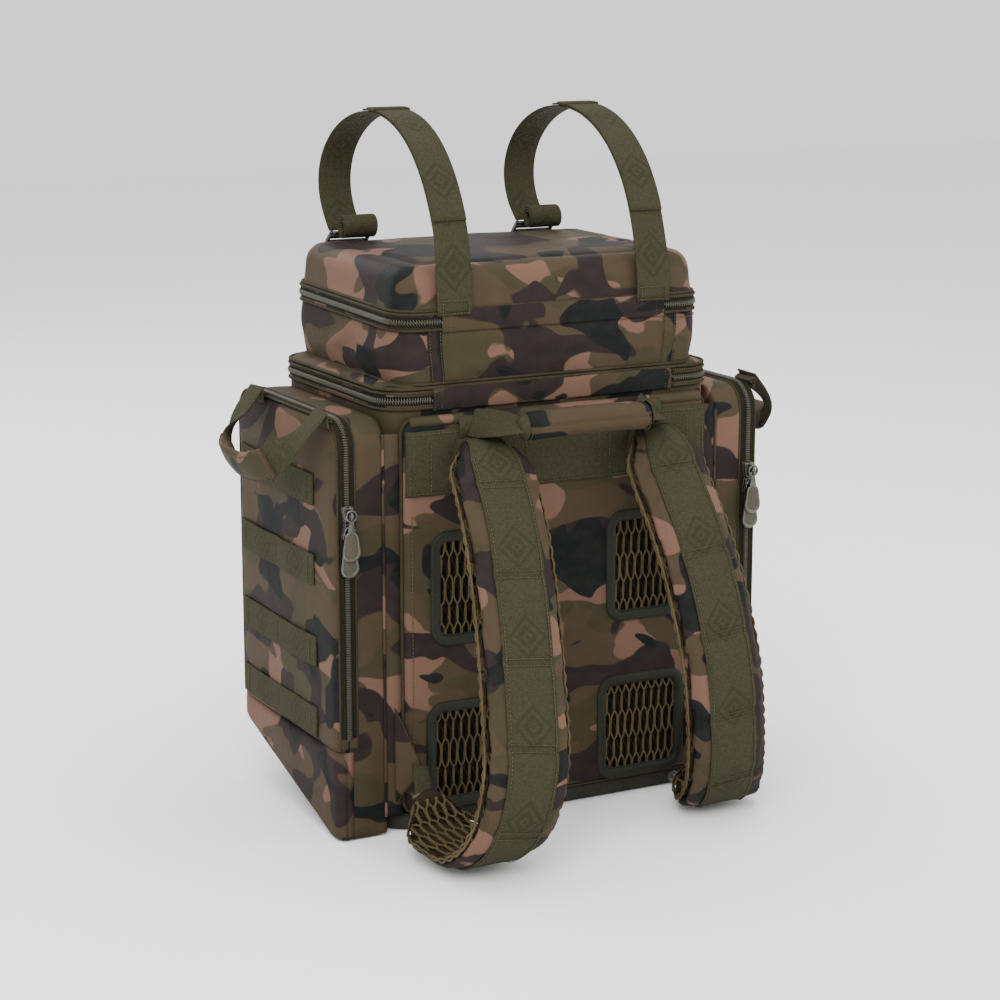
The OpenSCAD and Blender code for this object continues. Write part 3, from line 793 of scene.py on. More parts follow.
def inside_distance(x, z, cx, cz, w, h, r):
    """Distance inwards from a rounded rectangle's outline; negative outside."""
    dx = abs(x - cx) - (w / 2 - r)
    dz = abs(z - cz) - (h / 2 - r)
    outside = hypot(max(dx, 0.0), max(dz, 0.0))
    return r - outside - min(max(dx, dz), 0.0)


def window_distance(x, z):
    """Distance outside the nearest window's outline; negative inside."""
    nearest = 1e9
    for x0, z0, w, h in WINDOWS:
        for side in (-1, 1):
            nearest = min(nearest, -inside_distance(x, z, side * x0, z0, w, h, WINDOW_R))
    return nearest


def panel_y(x, z):
    """Face of the padded harness panel: soft between its edge, its windows and its centre seam."""
    edge = inside_distance(x, z, 0, (PANEL_Z0 + PANEL_Z1) / 2, 2 * PANEL_HALF, PANEL_Z1 - PANEL_Z0, PANEL_R)
    away = window_distance(x, z)
    rounding = 9.0 * (1 - sqrt(max(0.0, 1 - (1 - min(max(edge, 0) / 10.0, 1.0)) ** 2)))
    puffed = 2.6 * ease(edge / 34) * ease((away + 2) / 26)
    channel = 1.3 * exp(-((abs(x) - 8.0) / 3.0) ** 2) * (1 if z < 320 else 0)
    crease = 0.5 * ripple(x, 0, z, 38.0, 5.3) * ease(edge / 20)
    return PANEL_Y + rounding - puffed + channel + crease


def make_panel():
    columns, levels = int(2 * PANEL_HALF / 3), int((PANEL_Z1 - PANEL_Z0) / 3)
    shape = Shape()
    rows = []
    for j, z in enumerate(spread(PANEL_Z0, PANEL_Z1, levels)):
        corner = max(0.0, PANEL_R - min(z - PANEL_Z0, PANEL_Z1 - z))
        half = PANEL_HALF - PANEL_R + sqrt(max(0.0, PANEL_R ** 2 - corner ** 2))
        row = []
        for i, x in enumerate(spread(-half, half, columns)):
            y, away = panel_y(x, z), window_distance(x, z)
            if away < -4.0:
                y += (3.5 - y) * ease((-away - 4.0) / 3.0)
            if i in (0, columns) or j in (0, levels):
                y = WALL_Y0 - 0.2
            row.append((x, y, z))
        rows.append(row)
    shape.grid(rows)
    fit(shape.build("harness_panel", [CAMO_PANEL]), "pack", "camo_fabric", "back_panel")

    outline = rectangle_path(-PANEL_HALF, PANEL_Z0, PANEL_HALF, PANEL_Z1, PANEL_R, 5.0)
    piping("panel_piping", [(x, 2.2, z) for x, z, _, _ in outline], 1.8, "pack", up=AWAY, closed=True)
    roll = [(x, -1.0 + 0.4 * ripple(x, 0, 0, 30.0), PANEL_Z1 - 3 + 0.7 * ripple(x, 9, 0, 45.0))
            for x in range(-158, 159, 4)]
    piping("panel_top_roll", roll, 5.2, "pack", material=CAMO_TRIM)
    make_windows()
    make_harness_band()


def make_windows():
    """Bound rims round the panel's openings, with two layers of open mesh behind them: the rear layer is a darker copy
    as painted shade, and a near-black sheet behind both is painted shade.
    """
    rims, shade_sheet, front, rear = Shape(), Shape(), Shape(), Shape()
    turn = [2 * pi * i / 14 for i in range(14)]
    binding = [(4.9 * copysign(abs(cos(a)) ** 0.7, cos(a)), 2.3 * sin(a) - 0.4 * cos(a)) for a in turn]
    for x0, z0, w, h in WINDOWS:
        for cx in (-x0, x0):
            for inset, section, sink in ((4.8, binding, -0.6), (9.8, round_section(1.1, 6), 0.8),
                                         (0.5, round_section(0.9, 6), 0.2)):
                edge = rectangle_path(cx - w / 2 + inset, z0 - h / 2 + inset, cx + w / 2 - inset,
                                      z0 + h / 2 - inset, max(4.0, WINDOW_R - inset), 4.0)
                sweep(rims, [(x, panel_y(x, z) + sink, z) for x, z, _, _ in edge], AWAY, section, closed=True)
            # A near-black sheet inside each window, just in front of the panel: painted shade behind the mesh.
            shade_sheet.grid([[(cx + (w / 2 - 7) * u, 3.0, z0 + (h / 2 - 7) * v) for u in (-1, 0, 1)]
                          for v in (-1, 0, 1)])
            lattice(front, cx, z0, w - 15, h - 15, -2.4, 0.0, 0.9)
            # The rear mesh layer takes the darker mesh colour: painted shade behind the front strands.
            lattice(rear, cx, z0, w - 15, h - 15, 1.2, 0.5, 0.8)
    fit(rims.build("window_rims", [PIPING_DARK]), "pack", "olive_webbing", "window_bindings")
    fit(shade_sheet.build("window_painted_shade", [WINDOW_SHADE_CLOTH]), "pack", "spacer_mesh")
    fit(front.build("window_mesh_front", [MESH_STRAND]), "pack", "spacer_mesh", "window_meshes")
    fit(rear.build("window_mesh_back", [SHADED_MESH_BACK]), "pack", "spacer_mesh")


def make_harness_band():
    tacks = Shape()
    low, high = (corner[2] for corner in node_box("harness_band"))
    rows, uvs = [], []
    for j, z in enumerate(spread(low, high, 12)):
        edge = 0.9 if j in (0, 12) else 0.0
        rows.append([(x, panel_y(x, z) - 2.7 + edge + 0.4 * ripple(x, 0, z, 26.0, 2.0), z)
                     for x in range(-164, 165, 4)])
        uvs.append([(x * MM, (z - (low + high) / 2) * MM) for x in range(-164, 165, 4)])
    fabric("harness_webbing", rows, [WEB], 1.4, "pack", "harness_band", inner_slot=0, slot="olive_webbing", uv=uvs)
    for x in (-160, -140, -52, -40, 40, 52, 140, 160):
        stitches(tacks, [(x, panel_y(x, z) - 2.9, z) for z in range(int(low) + 4, int(high) - 3, 4)], AWAY)
    for z in (low + 3, high - 3):
        stitches(tacks, [(x, panel_y(x, z) - 2.9, z) for x in range(-162, 163, 6)], AWAY)
    for x in (8 - PANEL_HALF, PANEL_HALF - 8):
        stitches(tacks, [(x, panel_y(x, z) - 0.1, z) for z in range(40, 320, 5)], AWAY)
    sewn(tacks, "panel_stitching", "pack")


def squared(wave):
    """A cosine with flatter tops and steeper sides, for the strands' path round a cell."""
    return 2.4 * wave / sqrt(1 + (2.2 * wave) ** 2)


def lattice(shape, cx, cz, w, h, y, phase, radius, pitch=8.6, row=23.5):
    """Knitted spacer mesh: strands that meet in upright bars and part round long cells."""
    steps = 8
    for m in range(-2, 2 * int(w / pitch) + 6):
        lean = 1 if m % 2 else -1
        line = []
        for k in range(int(h / row * steps) + 2):
            z = -h / 2 + min(k * row / steps, h)
            sharp = squared(cos(pi * (z + h / 2) / row + pi * phase))
            x = (m // 2) * pitch + lean * (pitch / 4) * (1 - sharp) - w / 2 + lean * radius * 0.55 * abs(sharp)
            if abs(x) <= w / 2 + 1.5:
                line.append((cx + x, y + 1.1 * abs(sharp) - 1.1 + 0.7 * ripple(cx + x, m, cz + z, 12.0), cz + z))
            else:
                strand(shape, line, AWAY, radius)
                line = []
        strand(shape, line, AWAY, radius)


def strand(shape, line, up, radius, least=3):
    """One unbroken length of a mesh strand, if it is long enough to show."""
    if len(line) >= least:
        sweep(shape, line, up, round_section(radius, 5))


def make_corner_strips():
    """Fabric from the harness panel's edge to each side pocket's inner edge, with a cord at the pocket."""
    shape, cords = Shape(), Shape()
    x0, x1 = PANEL_HALF - 1.5, POCKET_IN + 1.2
    levels = spread(BASE_WRAP + 1, POCKET_TOP - 14, 64)
    for side in (-1, 1):
        shape.grid([[(side * (x0 + (x1 - x0) * t),
                      4.6 + (POCKET_Y0 - 3.8) * t - 2.2 * sin(pi * t) + 0.7 * ripple(x0, t * 9, z, 32.0, side), z)
                     for t in spread(0, 1, 8)] for z in levels], flip=side < 0)
        cord = [(side * (x1 - 0.6), POCKET_Y0 - 0.2 + 0.5 * ripple(x1, 5, z, 32.0, side), z) for z in levels]
        sweep(cords, cord, AWAY, round_section(1.5))
    fit(solidify(shape.build("corner_strips", [CAMO_BODY]), 1.2, 0), "pack", "camo_fabric")
    fit(cords.build("corner_cords", [CAMO_TRIM]), "pack", "camo_fabric")


def make_wings():
    """Triangular gussets that hold the lower ends of the shoulder straps."""
    seam, tip = (HALF_W - 3, -4), (HALF_W - 22, -18)
    shape, edges = Shape(), Shape()
    for side in (-1, 1):
        rows = []
        for t in spread(0, 1, 14):
            x, y = mixed(seam, tip, t)
            rows.append([(side * x, y - 1.6 * sin(pi * t) * sin(pi * j / 12) + 0.7 * ripple(x, y, z, 16.0, side), z)
                         for j, z in enumerate(spread(36 + 30 * t, 128 - 54 * t, 12))])
        shape.grid(rows, flip=side > 0)
        for j in (0, 12):
            sweep(edges, [row[j] for row in rows], AWAY, round_section(1.0, 6))
    wings = solidify(shape.build("strap_wings", [CAMO_TRIM, CAMO_TRIM]), 2.2, 0, 0.0)
    fit(wings, "pack", "camo_fabric", "side_wings")
    fit(edges.build("wing_piping", [PIPING]), "pack", "camo_fabric")


# ---------------------------------------------------------------- zips round the lid
def open_path(path, half, offset, z):
    """The part of a plan outline that isn't on the hinge, starting just past the hinge's right end."""
    at, total = along_path(path, closed=True)
    line, normals = [], []
    for s in spread(half, total - half, int((total - 2 * half) / 4)):
        x, y, nx, ny = at(s)
        normals.append(unit((nx, ny, 0)))
        line.append(add([x, y, z], normals[-1], offset))
    return line, normals


def make_ring_zips():
    for name, path, half, z, lower, upper in (
            ("main_zip", BODY_PATH, HINGE_HALF, MAIN_ZIP, "pack", "main_lid"),
            ("top_zip", TRAY_PATH, TOP_HINGE_HALF, TOP_ZIP, "main_lid", "top_cover")):
        line, normals = open_path(path, half, 0.4, z)
        for part, node, body, sign in (("low", "_lower", lower, -1), ("high", "_upper", upper, 1)):
            zip_half(f"{name}_{part}", line, normals, (0, 0, 1), sign, body, name + node)
        for part, body, sign in (("low", lower, -1), ("high", upper, 1)):
            piping(f"{name}_cord_{part}", open_path(path, half, 1.6, z + 7.4 * sign)[0], 1.5, body)
        flange, normals = open_path(path, half, 1.3, z)
        for part, body, sign in (("low", lower, -1), ("high", upper, 1)):
            rows = [[add(add(p, n, 0.4 if k else -0.3), (0, 0, 1), sign * (3.9 + 1.3 * k))
                     for p, n in zip(flange, normals)] for k in range(3)]
            fabric(f"{name}_flange_{part}", rows, [CAMO_TRIM], 0.8, body, inner_slot=0, flip=sign < 0)


def make_hinge(name, path, half, z, node):
    """Fabric band on the harness side between two bodies, with stitched ends."""
    y0 = min(p[1] for p in path)
    band, seams = Shape(), Shape()
    band.grid([[(x, y0 - 0.9 - 0.8 * sin(pi * j / 14) + 0.5 * ripple(x, h, 0, 30.0, z), h)
                for x in range(-int(half) - 1, int(half) + 2, 4)]
               for j, h in enumerate(spread(z - 10.5, z + 10.5, 14))], flip=True)
    cloth_band = solidify(band.build(name, [CAMO_LID]), 1.2, 0)
    bake_modifiers(cloth_band)
    for x in (1.5 - half, 8.5 - half, half - 1.5, half - 8.5):
        stitches(seams, [(x, y0 - 2.1, z + h) for h in range(-9, 10, 3)], AWAY, 3.0, 0.4)
    for piece, slot in ((cloth_band, "camo_fabric"), (seams.build(name + "_stitches", [STITCH]), "olive_webbing")):
        place(0, y0, z - 7)
        place(0, y0, z + 7)
        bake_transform(piece)
    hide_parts(node)


# ---------------------------------------------------------------- lid compartment
SEAM_X = 125             # upright seam strips on the compartment's harness side


def tray_bulge(x, y, _, ny, z):
    """The same for the lid compartment's wall, which is stiffer at its harness-side corners."""
    t = max(0.0, min(1.0, (z - TRAY_Z0) / (TRAY_HIGH[2] - TRAY_Z0)))
    soft = 1.0 - 0.7 * max(0.0, -ny) * (abs(x) > 112)
    return 2.4 * sin(pi * t) ** 0.8 * soft + 2.2 * sin(pi * t) * ripple(x, y, z * 1.6, 30.0, 7.0) * soft


def make_lid():
    rim_z = MAIN_ZIP + TAPE_H
    count = len(BODY_PATH)
    shape = Shape()
    rows = [ring_at(BODY_PATH, d, rim_z + h) for d, h in ((-30, 0.2), (-1.0, 0.1), (0.2, 0.7), (0.3, 1.8), (-0.8, 3.0))]
    start = shape.grid(rows, close_u=True)
    shape.slots[:count] = [1] * count        # the outer ring of the underside is lining too
    shape.cap(range(start, start + count), 1, flip=True)
    body_at, body_total = along_path(BODY_PATH, closed=True)
    tray_at, tray_total = along_path(TRAY_PATH, closed=True)
    rows = []
    for t in spread(0, 1, 6):
        row = []
        for i in range(count):
            bx, by, nx, ny = body_at(body_total * i / count)
            edge = add((bx, by), unit((nx, ny)), -0.8)
            tx, ty, nx, ny = tray_at(tray_total * i / count)
            foot = add((tx, ty), (nx, ny), -2)
            sag = (1.6 + 0.8 * ripple(bx, by, 0, 40.0)) * sin(pi * t)
            row.append((*mixed(edge, foot, t), rim_z + 3.0 + 3.4 * t + sag))
        rows.append(row)
    shape.grid(rows, close_u=True)
    fit(shape.build("lid_top", [CAMO_LID, LINING]), "main_lid", "camo_fabric", "lid_panel")
    piping("lid_piping", ring_at(BODY_PATH, 0.6, rim_z + 2.6), 1.9, "main_lid", closed=True)

    top = TRAY_HIGH[2]
    levels = spread(TRAY_Z0 - 0.5, top, 22)
    fabric("lid_walls", bulged(TRAY_PATH, tray_bulge, levels), [CAMO_LID, LINING], 3.0, "main_lid", "lid_tray",
           close_u=True)
    fit(floor_sheet("lid_floor", TRAY_HALF - 3, TRAY_Y0 + 3, TRAY_Y1 - 3, TRAY_R - 3, TRAY_Z0 + 3, (24, 16),
                    (14, 14, 50), 3), "main_lid", "camo_fabric")
    piping("tray_foot_piping", ring_at(TRAY_PATH, 1.2, TRAY_Z0 + 1.2), 1.5, "main_lid", closed=True)

    strips, tacks = Shape(), Shape()
    for x in (-SEAM_X, SEAM_X):
        face = [(z, TRAY_Y0 - 0.9 - tray_bulge(x, TRAY_Y0, 0, -1, z)) for z in levels]
        strips.grid([[(x + dx, y + (0.7 if abs(dx) > 6.5 else 0.0), z) for dx in (-7.5, -6.6, -3, 0, 3, 6.6, 7.5)]
                     for z, y in face], flip=True)
        for dx in (-5.4, 5.4):
            stitches(tacks, [(x + dx, y - 0.3, z) for z, y in face], AWAY, 3.4, THREAD)
    line, normals = open_path(TRAY_PATH, 128, 1.2, top - 5)
    stitches(tacks, [add(p, n, 0.4) for p, n in zip(line, normals)][:30], (1, 0, 0), 3.6, THREAD)
    fit(strips.build("tray_seam_strips", [CAMO_TRIM]), "main_lid", "camo_fabric")
    sewn(tacks, "tray_stitching", "main_lid")


def make_cover():
    base = TOP_ZIP + TAPE_H
    height = COVER_TOP - base
    profile = [(-0.2, 0.0), (0.4, 0.8), (-0.4, 1.6), (-1.6, 3.0), (-3.0, 10.0), (-3.6, 18.0), (-4.0, height - EDGE_R)]
    profile += [(-4.0 - (EDGE_R - 1) * (1 - cos(a)), height - EDGE_R + EDGE_R * sin(a) - 1.6)
                for a in spread(0, pi / 2, 8)[1:]]
    profile += [(-24, height - 1.5), (-28, height - 1.6), (-31, height - 2.4), (-34, height - 2.2),
                (-38, height - 0.6), (-46, height), (-70, height + 0.4), (-100, height + 0.6)]
    middle = (TRAY_Y0 + TRAY_Y1) / 2
    rows = []
    for offset, rise in profile:
        shrink = min(1.0, (TRAY_HALF + offset) / (TRAY_HALF - 20))
        row = []
        for x, y, nx, ny in TRAY_PATH:
            px, py = add((x, y), (nx, ny), max(offset, -20))
            px, py = px * shrink, middle + (py - middle) * shrink
            dent = 1.1 * ease(rise / 12) * ripple(px, py, rise, 55.0, 9.0)
            row.append((px + nx * dent * 0.7, py + ny * dent * 0.7, base + rise + (dent if offset < -12 else 0)))
        rows.append(row)
    shape = Shape()
    last = shape.grid(rows, close_u=True) + (len(rows) - 1) * len(TRAY_PATH)
    shape.cap(range(last, last + len(TRAY_PATH)))
    fit(solidify(shape.build("cover", [CAMO_COVER, LINING]), 2.6), "top_cover", "camo_fabric", "cover_shell")
    piping("cover_foot_piping", ring_at(TRAY_PATH, -0.2, base + 1.6), 1.6, "top_cover", closed=True)


# ---------------------------------------------------------------- lashing straps and buckles
BOX_STITCH = (3.2, 0.45)  # pitch and thickness
BUCKLE_Y, BUCKLE_Z, BUCKLE_TILT = 243.5, 544.5, radians(-45)
ROLL_Y, ROLL_Z = 223, COVER_TOP + 12.2                    # middle of the rolled tails
RISE = ((4, TOP_ZIP + 5), (5, 598), (60, 677), (155, 677))
FALL = ((155, 677), (245, 677), (316, 610), (250, 555))


def strap_curve(offset=0.0, start=0.0, end=2.0, count=70):
    """The lashing strap's line in (y, z), moved outwards by offset; 0 to 1 is the rising branch."""
    points = []
    for i in range(count + 1):
        t = start + (end - start) * i / count
        points.append(bezier(RISE, t) if t <= 1 else bezier(FALL, t - 1))
    moved = []
    for i, (y, z) in enumerate(points):
        a, b = points[max(i - 1, 0)], points[min(i + 1, count)]
        length = hypot(b[0] - a[0], b[1] - a[1]) or 1.0
        ty, tz = (b[0] - a[0]) / length, (b[1] - a[1]) / length
        moved.append((y - tz * offset, z + ty * offset))
    return moved


def outward(line):
    """Directions square to a (y, z) line, for webbing that lies along it."""
    last = len(line) - 1
    spans = [sub(line[min(i + 1, last)], line[max(i - 1, 0)]) for i in range(last + 1)]
    return [(0.0, -dz, dy) for dy, dz in spans]


def make_top_straps():
    """Each lashing loop is one webbing, doubled on its rise, with a keeper and a rolled tail."""
    web, tacks = Shape(), Shape()
    roll = [(radians(k * 17.0) + 0.9, 11.0 - 7.2 * k / 63) for k in range(64)]
    foot_y, foot_z = RISE[0][0], int(TOP_ZIP)
    for side in (-1, 1):
        for line, width, thick in ((strap_curve(), STRAP_W, 1.9),
                                   (strap_curve(2.1, 0.30, 1.06, 40), STRAP_W - 0.6, 1.9),
                                   (strap_curve(3.0, 0.955, 1.01, 6), STRAP_W + 4, 3.4)):
            sweep(web, [(side * (STRAP_X + 1.5 * sin((z - TOP_ZIP) / 60.0)), y, z) for y, z in line],
                  outward(line), strip_section(width, thick))
        sweep(web, [(side * STRAP_X, ROLL_Y + r * cos(a), ROLL_Z + r * sin(a)) for a, r in roll],
              [(0.0, cos(a), sin(a)) for a, _ in roll], strip_section(STRAP_W - 1, 1.7))
        for dx in (-13, 13):
            stitches(tacks, [(side * STRAP_X + dx, foot_y - 1.4, z) for z in range(foot_z + 6, foot_z + 22, 3)],
                     AWAY, *BOX_STITCH)
        for z in (TOP_ZIP + 7, TOP_ZIP + 19):
            stitches(tacks, [(side * STRAP_X + dx, foot_y - 1.3, z) for dx in range(-15, 16, 3)], AWAY, *BOX_STITCH)
    fit(web.build("lashing_straps", [WEB_PATTERN]), "top_cover", "olive_webbing", "top_straps")
    sewn(tacks, "lashing_stitches", "top_cover")


def make_buckles():
    frames, tabs = Shape(), Shape()
    c, s = cos(BUCKLE_TILT), sin(BUCKLE_TILT)
    half = STRAP_W / 2 + 3.6
    widths = range(-int(half), int(half) + 1, 4)
    tab = smooth_path([(247.2, TOP_ZIP + 9.5), (248.4, 520), (249.6, 534), (251.5, 538.5), (250.6, 543),
                       (247.2, 542), (246.4, 530), (246.2, 514)], 2.5)
    for x in (-STRAP_X, STRAP_X):
        def local(u, y, z, x=x):
            return (x + u, BUCKLE_Y + y * c - z * s, BUCKLE_Z + y * s + z * c)

        for edge in (-1, 1):
            rail = [local(edge * half, y, 2.2 + 0.9 * cos(y / 12 * pi / 2)) for y in range(-12, 13, 2)]
            sweep(frames, rail, (edge, 0, 0.001), [(a * 2.3, b * 2.0) for a, b in round_section(1.0, 10)])
        for y, z, radius in ((-10.5, 1.6, 2.2), (-3.0, 3.4, 1.7), (3.4, 3.0, 1.9), (10.5, 1.8, 2.3)):
            sweep(frames, [local(u, y, z) for u in widths], (0, 0, 1), round_section(radius, 10))
        frames.grid([[local(u, 11.5 + dy, 2.0 + dz) for u in widths]
                     for dy, dz in ((0, -1.2), (2.2, -0.6), (3.6, 1.0), (3.2, 1.8), (1.6, 0.8), (0, 1.0))])
        sweep(tabs, [(x, y, z) for y, z in tab], (0, 1, 0.3), strip_section(30, 1.5))
    fit(frames.build("ladder_buckles", [PLASTIC]), "top_cover", "buckle_plastic", "top_buckles")
    fit(tabs.build("buckle_webbing", [WEB]), "top_cover", "olive_webbing", "buckle_tabs")


# ---------------------------------------------------------------- pockets
EDGE_ROUND = 9.0         # soft outer edges of a pocket
POCKET_TOE = 26.0        # width of a side pocket's bottom, below its slanting edge
POCKET_Z0, POCKET_FOOT = 3, 66                            # where the slanting edge starts and ends
POCKET_CROWN, FRONT_CROWN = 3.5, 4.0                      # how far the filled pockets swell
FRONT_ROW_Z = (115, 180, 245)
ROW_END = 12             # from the end of a webbing row to the pocket's edge
ZIP_PITCH = 2.3
PATCH_LOW, PATCH_HIGH = 91.5, 104                         # fabric tabs over the ends of the pocket zips


class Pocket:
    """A zipped box pocket: a runs along the wall, b is the height and h the distance out."""

    def __init__(self, side, low, high, bottom, top, foot, h0, split, out, crown):
        self.side, self.prefix, self.node, self.body = side, side + "_pocket_visual_", side + "_pocket", side + "_flap"
        self.low, self.high, self.bottom, self.top, self.foot = low, high, bottom, top, foot
        self.h0, self.split, self.out, self.crown = h0, split, out, crown

    def point(self, a, b, h):
        if self.side == "front":
            return (a, h, b)
        return (h if self.side == "right" else -h, a, b)

    def extent(self, b):
        """Lowest and highest a at height b."""
        low, high, shoulder = self.low, self.high, self.top - POCKET_R
        if b > shoulder:
            inset = POCKET_R - sqrt(max(0.0, POCKET_R ** 2 - (b - shoulder) ** 2))
            low, high = low + inset, high - inset
        if b < self.foot:
            toe = low + POCKET_TOE
            high = toe + (high - toe) * (b - self.bottom) / (self.foot - self.bottom)
        return low, high

    def levels(self, z0, z1):
        """Heights of a face's rows, which follow the rounded top corners."""
        shoulder = self.top - POCKET_R
        straight = min(z1, shoulder)
        rows = spread(z0, straight, max(2, int((straight - z0) / 5)))
        if z1 > shoulder:
            rows[-1:] = [shoulder + POCKET_R * sin(a) for a in spread(0, pi / 2, 9)]
        return rows

    def edge(self, z0, offset=0.0):
        """Outline from z0 up one side, over the top and down the other: (a, b) and normals."""
        low, high, r = self.low, self.high, POCKET_R
        shoulder = self.top - r
        rise, run = int((shoulder - z0) / 4), int((high - low - 2 * r) / 4)
        points = [(low, b, -1.0, 0.0) for b in spread(z0, shoulder, rise)[:-1]]
        points += [(low + r + r * cos(t), shoulder + r * sin(t), cos(t), sin(t)) for t in spread(pi, pi / 2, 9)[:-1]]
        points += [(a, self.top, 0.0, 1.0) for a in spread(low + r, high - r, run)[:-1]]
        points += [(high - r + r * cos(t), shoulder + r * sin(t), cos(t), sin(t)) for t in spread(pi / 2, 0, 9)[:-1]]
        points += [(high, b, 1.0, 0.0) for b in spread(shoulder, z0, rise)]
        return [(a + na * offset, b + nb * offset, na, nb) for a, b, na, nb in points]

    def swell(self, a, b):
        """Crown of the outer face."""
        low, high = self.extent(min(b, self.top - 1))
        u = (2 * a - low - high) / max(1.0, high - low)
        v = (2 * b - self.bottom - self.top) / (self.top - self.bottom)
        crown = self.crown * max(0.0, 1 - u * u) ** 0.8 * max(0.0, 1 - v ** 4) ** 0.8
        crown += 1.8 * ripple(a, b, self.h0, 42.0, 4.2) * max(0.0, 1 - u ** 4)
        return crown * ease(abs(b - FOLD_Z) / 8)

    def face(self, z0, z1, closed_foot=False):
        """Outer face from z0 to z1 with its rounded edges and its sides back to the split line."""
        side_h = self.split + 4
        lap = 0.9 if closed_foot else 0.0
        root = self.split - 5 * lap + 0.4
        rows = []
        for b in self.levels(z0, z1):
            low, high = self.extent(b)
            r = min(EDGE_ROUND, max(0.5, high - low) / 3)
            turned_in = max(0.0, min(1.0, (b - self.top + EDGE_ROUND) / EDGE_ROUND))
            flat = 1 - EDGE_ROUND * (1 - sqrt(1 - turned_in ** 2)) / (self.out - side_h)
            arc = [(r * (1 - cos(t)), r * sin(t) - r) for t in spread(0, pi / 2, 5)]
            outer = [(low + da, dh) for da, dh in arc]
            outer += [(a, 0.0) for a in spread(low + r, high - r, 34)[1:-1]]
            outer += [(high - da, dh) for da, dh in arc[::-1]]
            row = [(low - lap, root), (low - lap * 0.7, side_h)]
            for a, dh in outer:
                lift = self.out + dh + self.swell(a, b) * (1 + dh / r)
                row.append((a, side_h + (lift - side_h) * flat))
            row += [(high + lap * 0.7, side_h), (high + lap, root)]
            rows.append([self.point(a, b, h) for a, h in row])
        last = len(rows[0]) - 1
        if z1 >= self.top:
            rows += [[self.point(a, self.top + lift, h) for a in spread(*self.extent(self.top), last)]
                     for lift, h in ((0.2, side_h + 2.0), (0.2, side_h), (0.0, self.split + 0.4))]
        if closed_foot:
            rows = [[self.point(a, z0, h) for a in spread(*self.extent(z0), last)]
                    for h in (self.h0, self.split, self.out - 3.5)] + rows
        return rows

    def make_walls(self):
        side = self.side
        outline = self.edge(self.foot)
        if side == "front":
            outline += [(a, self.bottom, 0.0, -1.0) for a in spread(self.high, self.low, 30)]
        else:
            toe = self.low + POCKET_TOE
            outline += [(*mixed((self.high, self.foot), (toe, self.bottom), i / 14), 0.3, -0.95)
                        for i in range(1, 15)]
            outline += [(a, self.bottom, 0.0, -1.0) for a in spread(toe, self.low, 5)[1:]]
            outline += [(self.low, b, -1.0, 0.0) for b in spread(self.bottom, self.foot, 12)[1:-1]]
        rows = []
        for t in spread(0, 1, 9):
            h, bulge = self.h0 + (self.split - 0.3 - self.h0) * t, sin(pi * t)
            rows.append([self.point(a + na * bulge * (1.0 + 0.5 * ripple(a, b, h, 24.0, 6.0)), b + nb * bulge, h)
                         for a, b, na, nb in outline])
        fabric(self.prefix + "gusset", rows, [CAMO_BODY, LINING], 2.2, "pack", self.node + "_body",
               close_u=True, flip=side == "right")
        if side != "front":
            rows = [[self.point(a, b, self.h0 + 0.9) for a in spread(*self.extent(b), 24)]
                    for b in self.levels(self.bottom, self.top)]
            fabric(self.prefix + "inner_wall", rows, [LINING, CAMO_BODY], 0.8, "pack", flip=side == "left")
        fabric(self.prefix + "bin", self.face(self.bottom, FOLD_Z, closed_foot=True), [CAMO_FLAP, LINING], 2.0,
               "pack", flip=side != "right")
        panel = fabric(self.prefix + "front", self.face(FOLD_Z + 0.8, self.top), [CAMO_FLAP, LINING], 2.4,
                       self.body, self.node + "_flap", flip=side != "right")

    def make_zip(self):
        out = self.point(0, 0, 1)
        edge = self.edge(ZIP_END_Z - 2, 0.5)
        normals = [self.point(na, nb, 0) for _, _, na, nb in edge]
        line = [self.point(a, b, self.split) for a, b, _, _ in edge]
        # The CAD has one node for the zip halves on all three pocket bodies.
        zip_half(self.prefix + "zip_low", line, normals, out, -1, "pack",
                 *(["pocket_zips"] if self.side == "left" else []), pitch=ZIP_PITCH)
        zip_half(self.prefix + "zip_high", line, normals, out, 1, self.body, self.side + "_flap_zip", pitch=ZIP_PITCH)
        for part, body, shift in (("low", "pack", -9.0), ("high", self.body, 8.6)):
            cord = [self.point(a, b, self.split + shift) for a, b, _, _ in self.edge(FOLD_Z + 2, 0.7)]
            piping(self.prefix + "edge_" + part, cord, 1.1, body, up=out)
        for part, body, h0, h1 in (("low", "pack", -9, -0.4), ("high", self.body, 0.4, 9)):
            patch = Shape()
            for a, na in ((self.low, -1), (self.high, 1)):
                rows = [[self.point(a + na * (1.6 - (1.4 if j in (0, 6) else 0) - (0.5 if i in (0, 4) else 0)),
                                    b, self.split + h) for i, h in enumerate(spread(h0, h1, 4))]
                        for j, b in enumerate(spread(PATCH_LOW, PATCH_HIGH, 6))]
                patch.grid(rows, flip=(na > 0) == (self.side == "right"))
            fit(solidify(patch.build(self.prefix + "patch_" + part, [CAMO_STRAP]), 0.8, 0), body, "camo_fabric")

    def rows_of_webbing(self, levels, a0, a1):
        """Webbing rows sewn at intervals, so each loop stands a little off the fabric."""
        web, tacks = Shape(), Shape()
        out = self.point(0, 0, 1)
        for z in levels:
            def face(a, lift, z=z):
                return self.out + self.swell(a, z) + lift

            sweep(web, [self.point(a, z, face(a, 0.9 + 0.9 * abs(sin(2 * pi * i / 60)) ** 0.35))
                        for i, a in enumerate(spread(a0, a1, 60))], out, strip_section(ROW_W, 1.5))
            for share, lift in ((0.02, 1.75), (0.07, 2.45), (0.5, 1.75), (0.93, 2.45), (0.98, 1.75)):
                a = a0 + (a1 - a0) * share
                stitches(tacks, [self.point(a, z + b, face(a, lift)) for b in range(-12, 13, 3)], out, 3.0, THREAD)
        fit(web.build(self.prefix + "rows", [WEB_PATTERN]), self.body, "olive_webbing", self.node + "_webbing")
        sewn(tacks, self.prefix + "row_tacks", self.body)


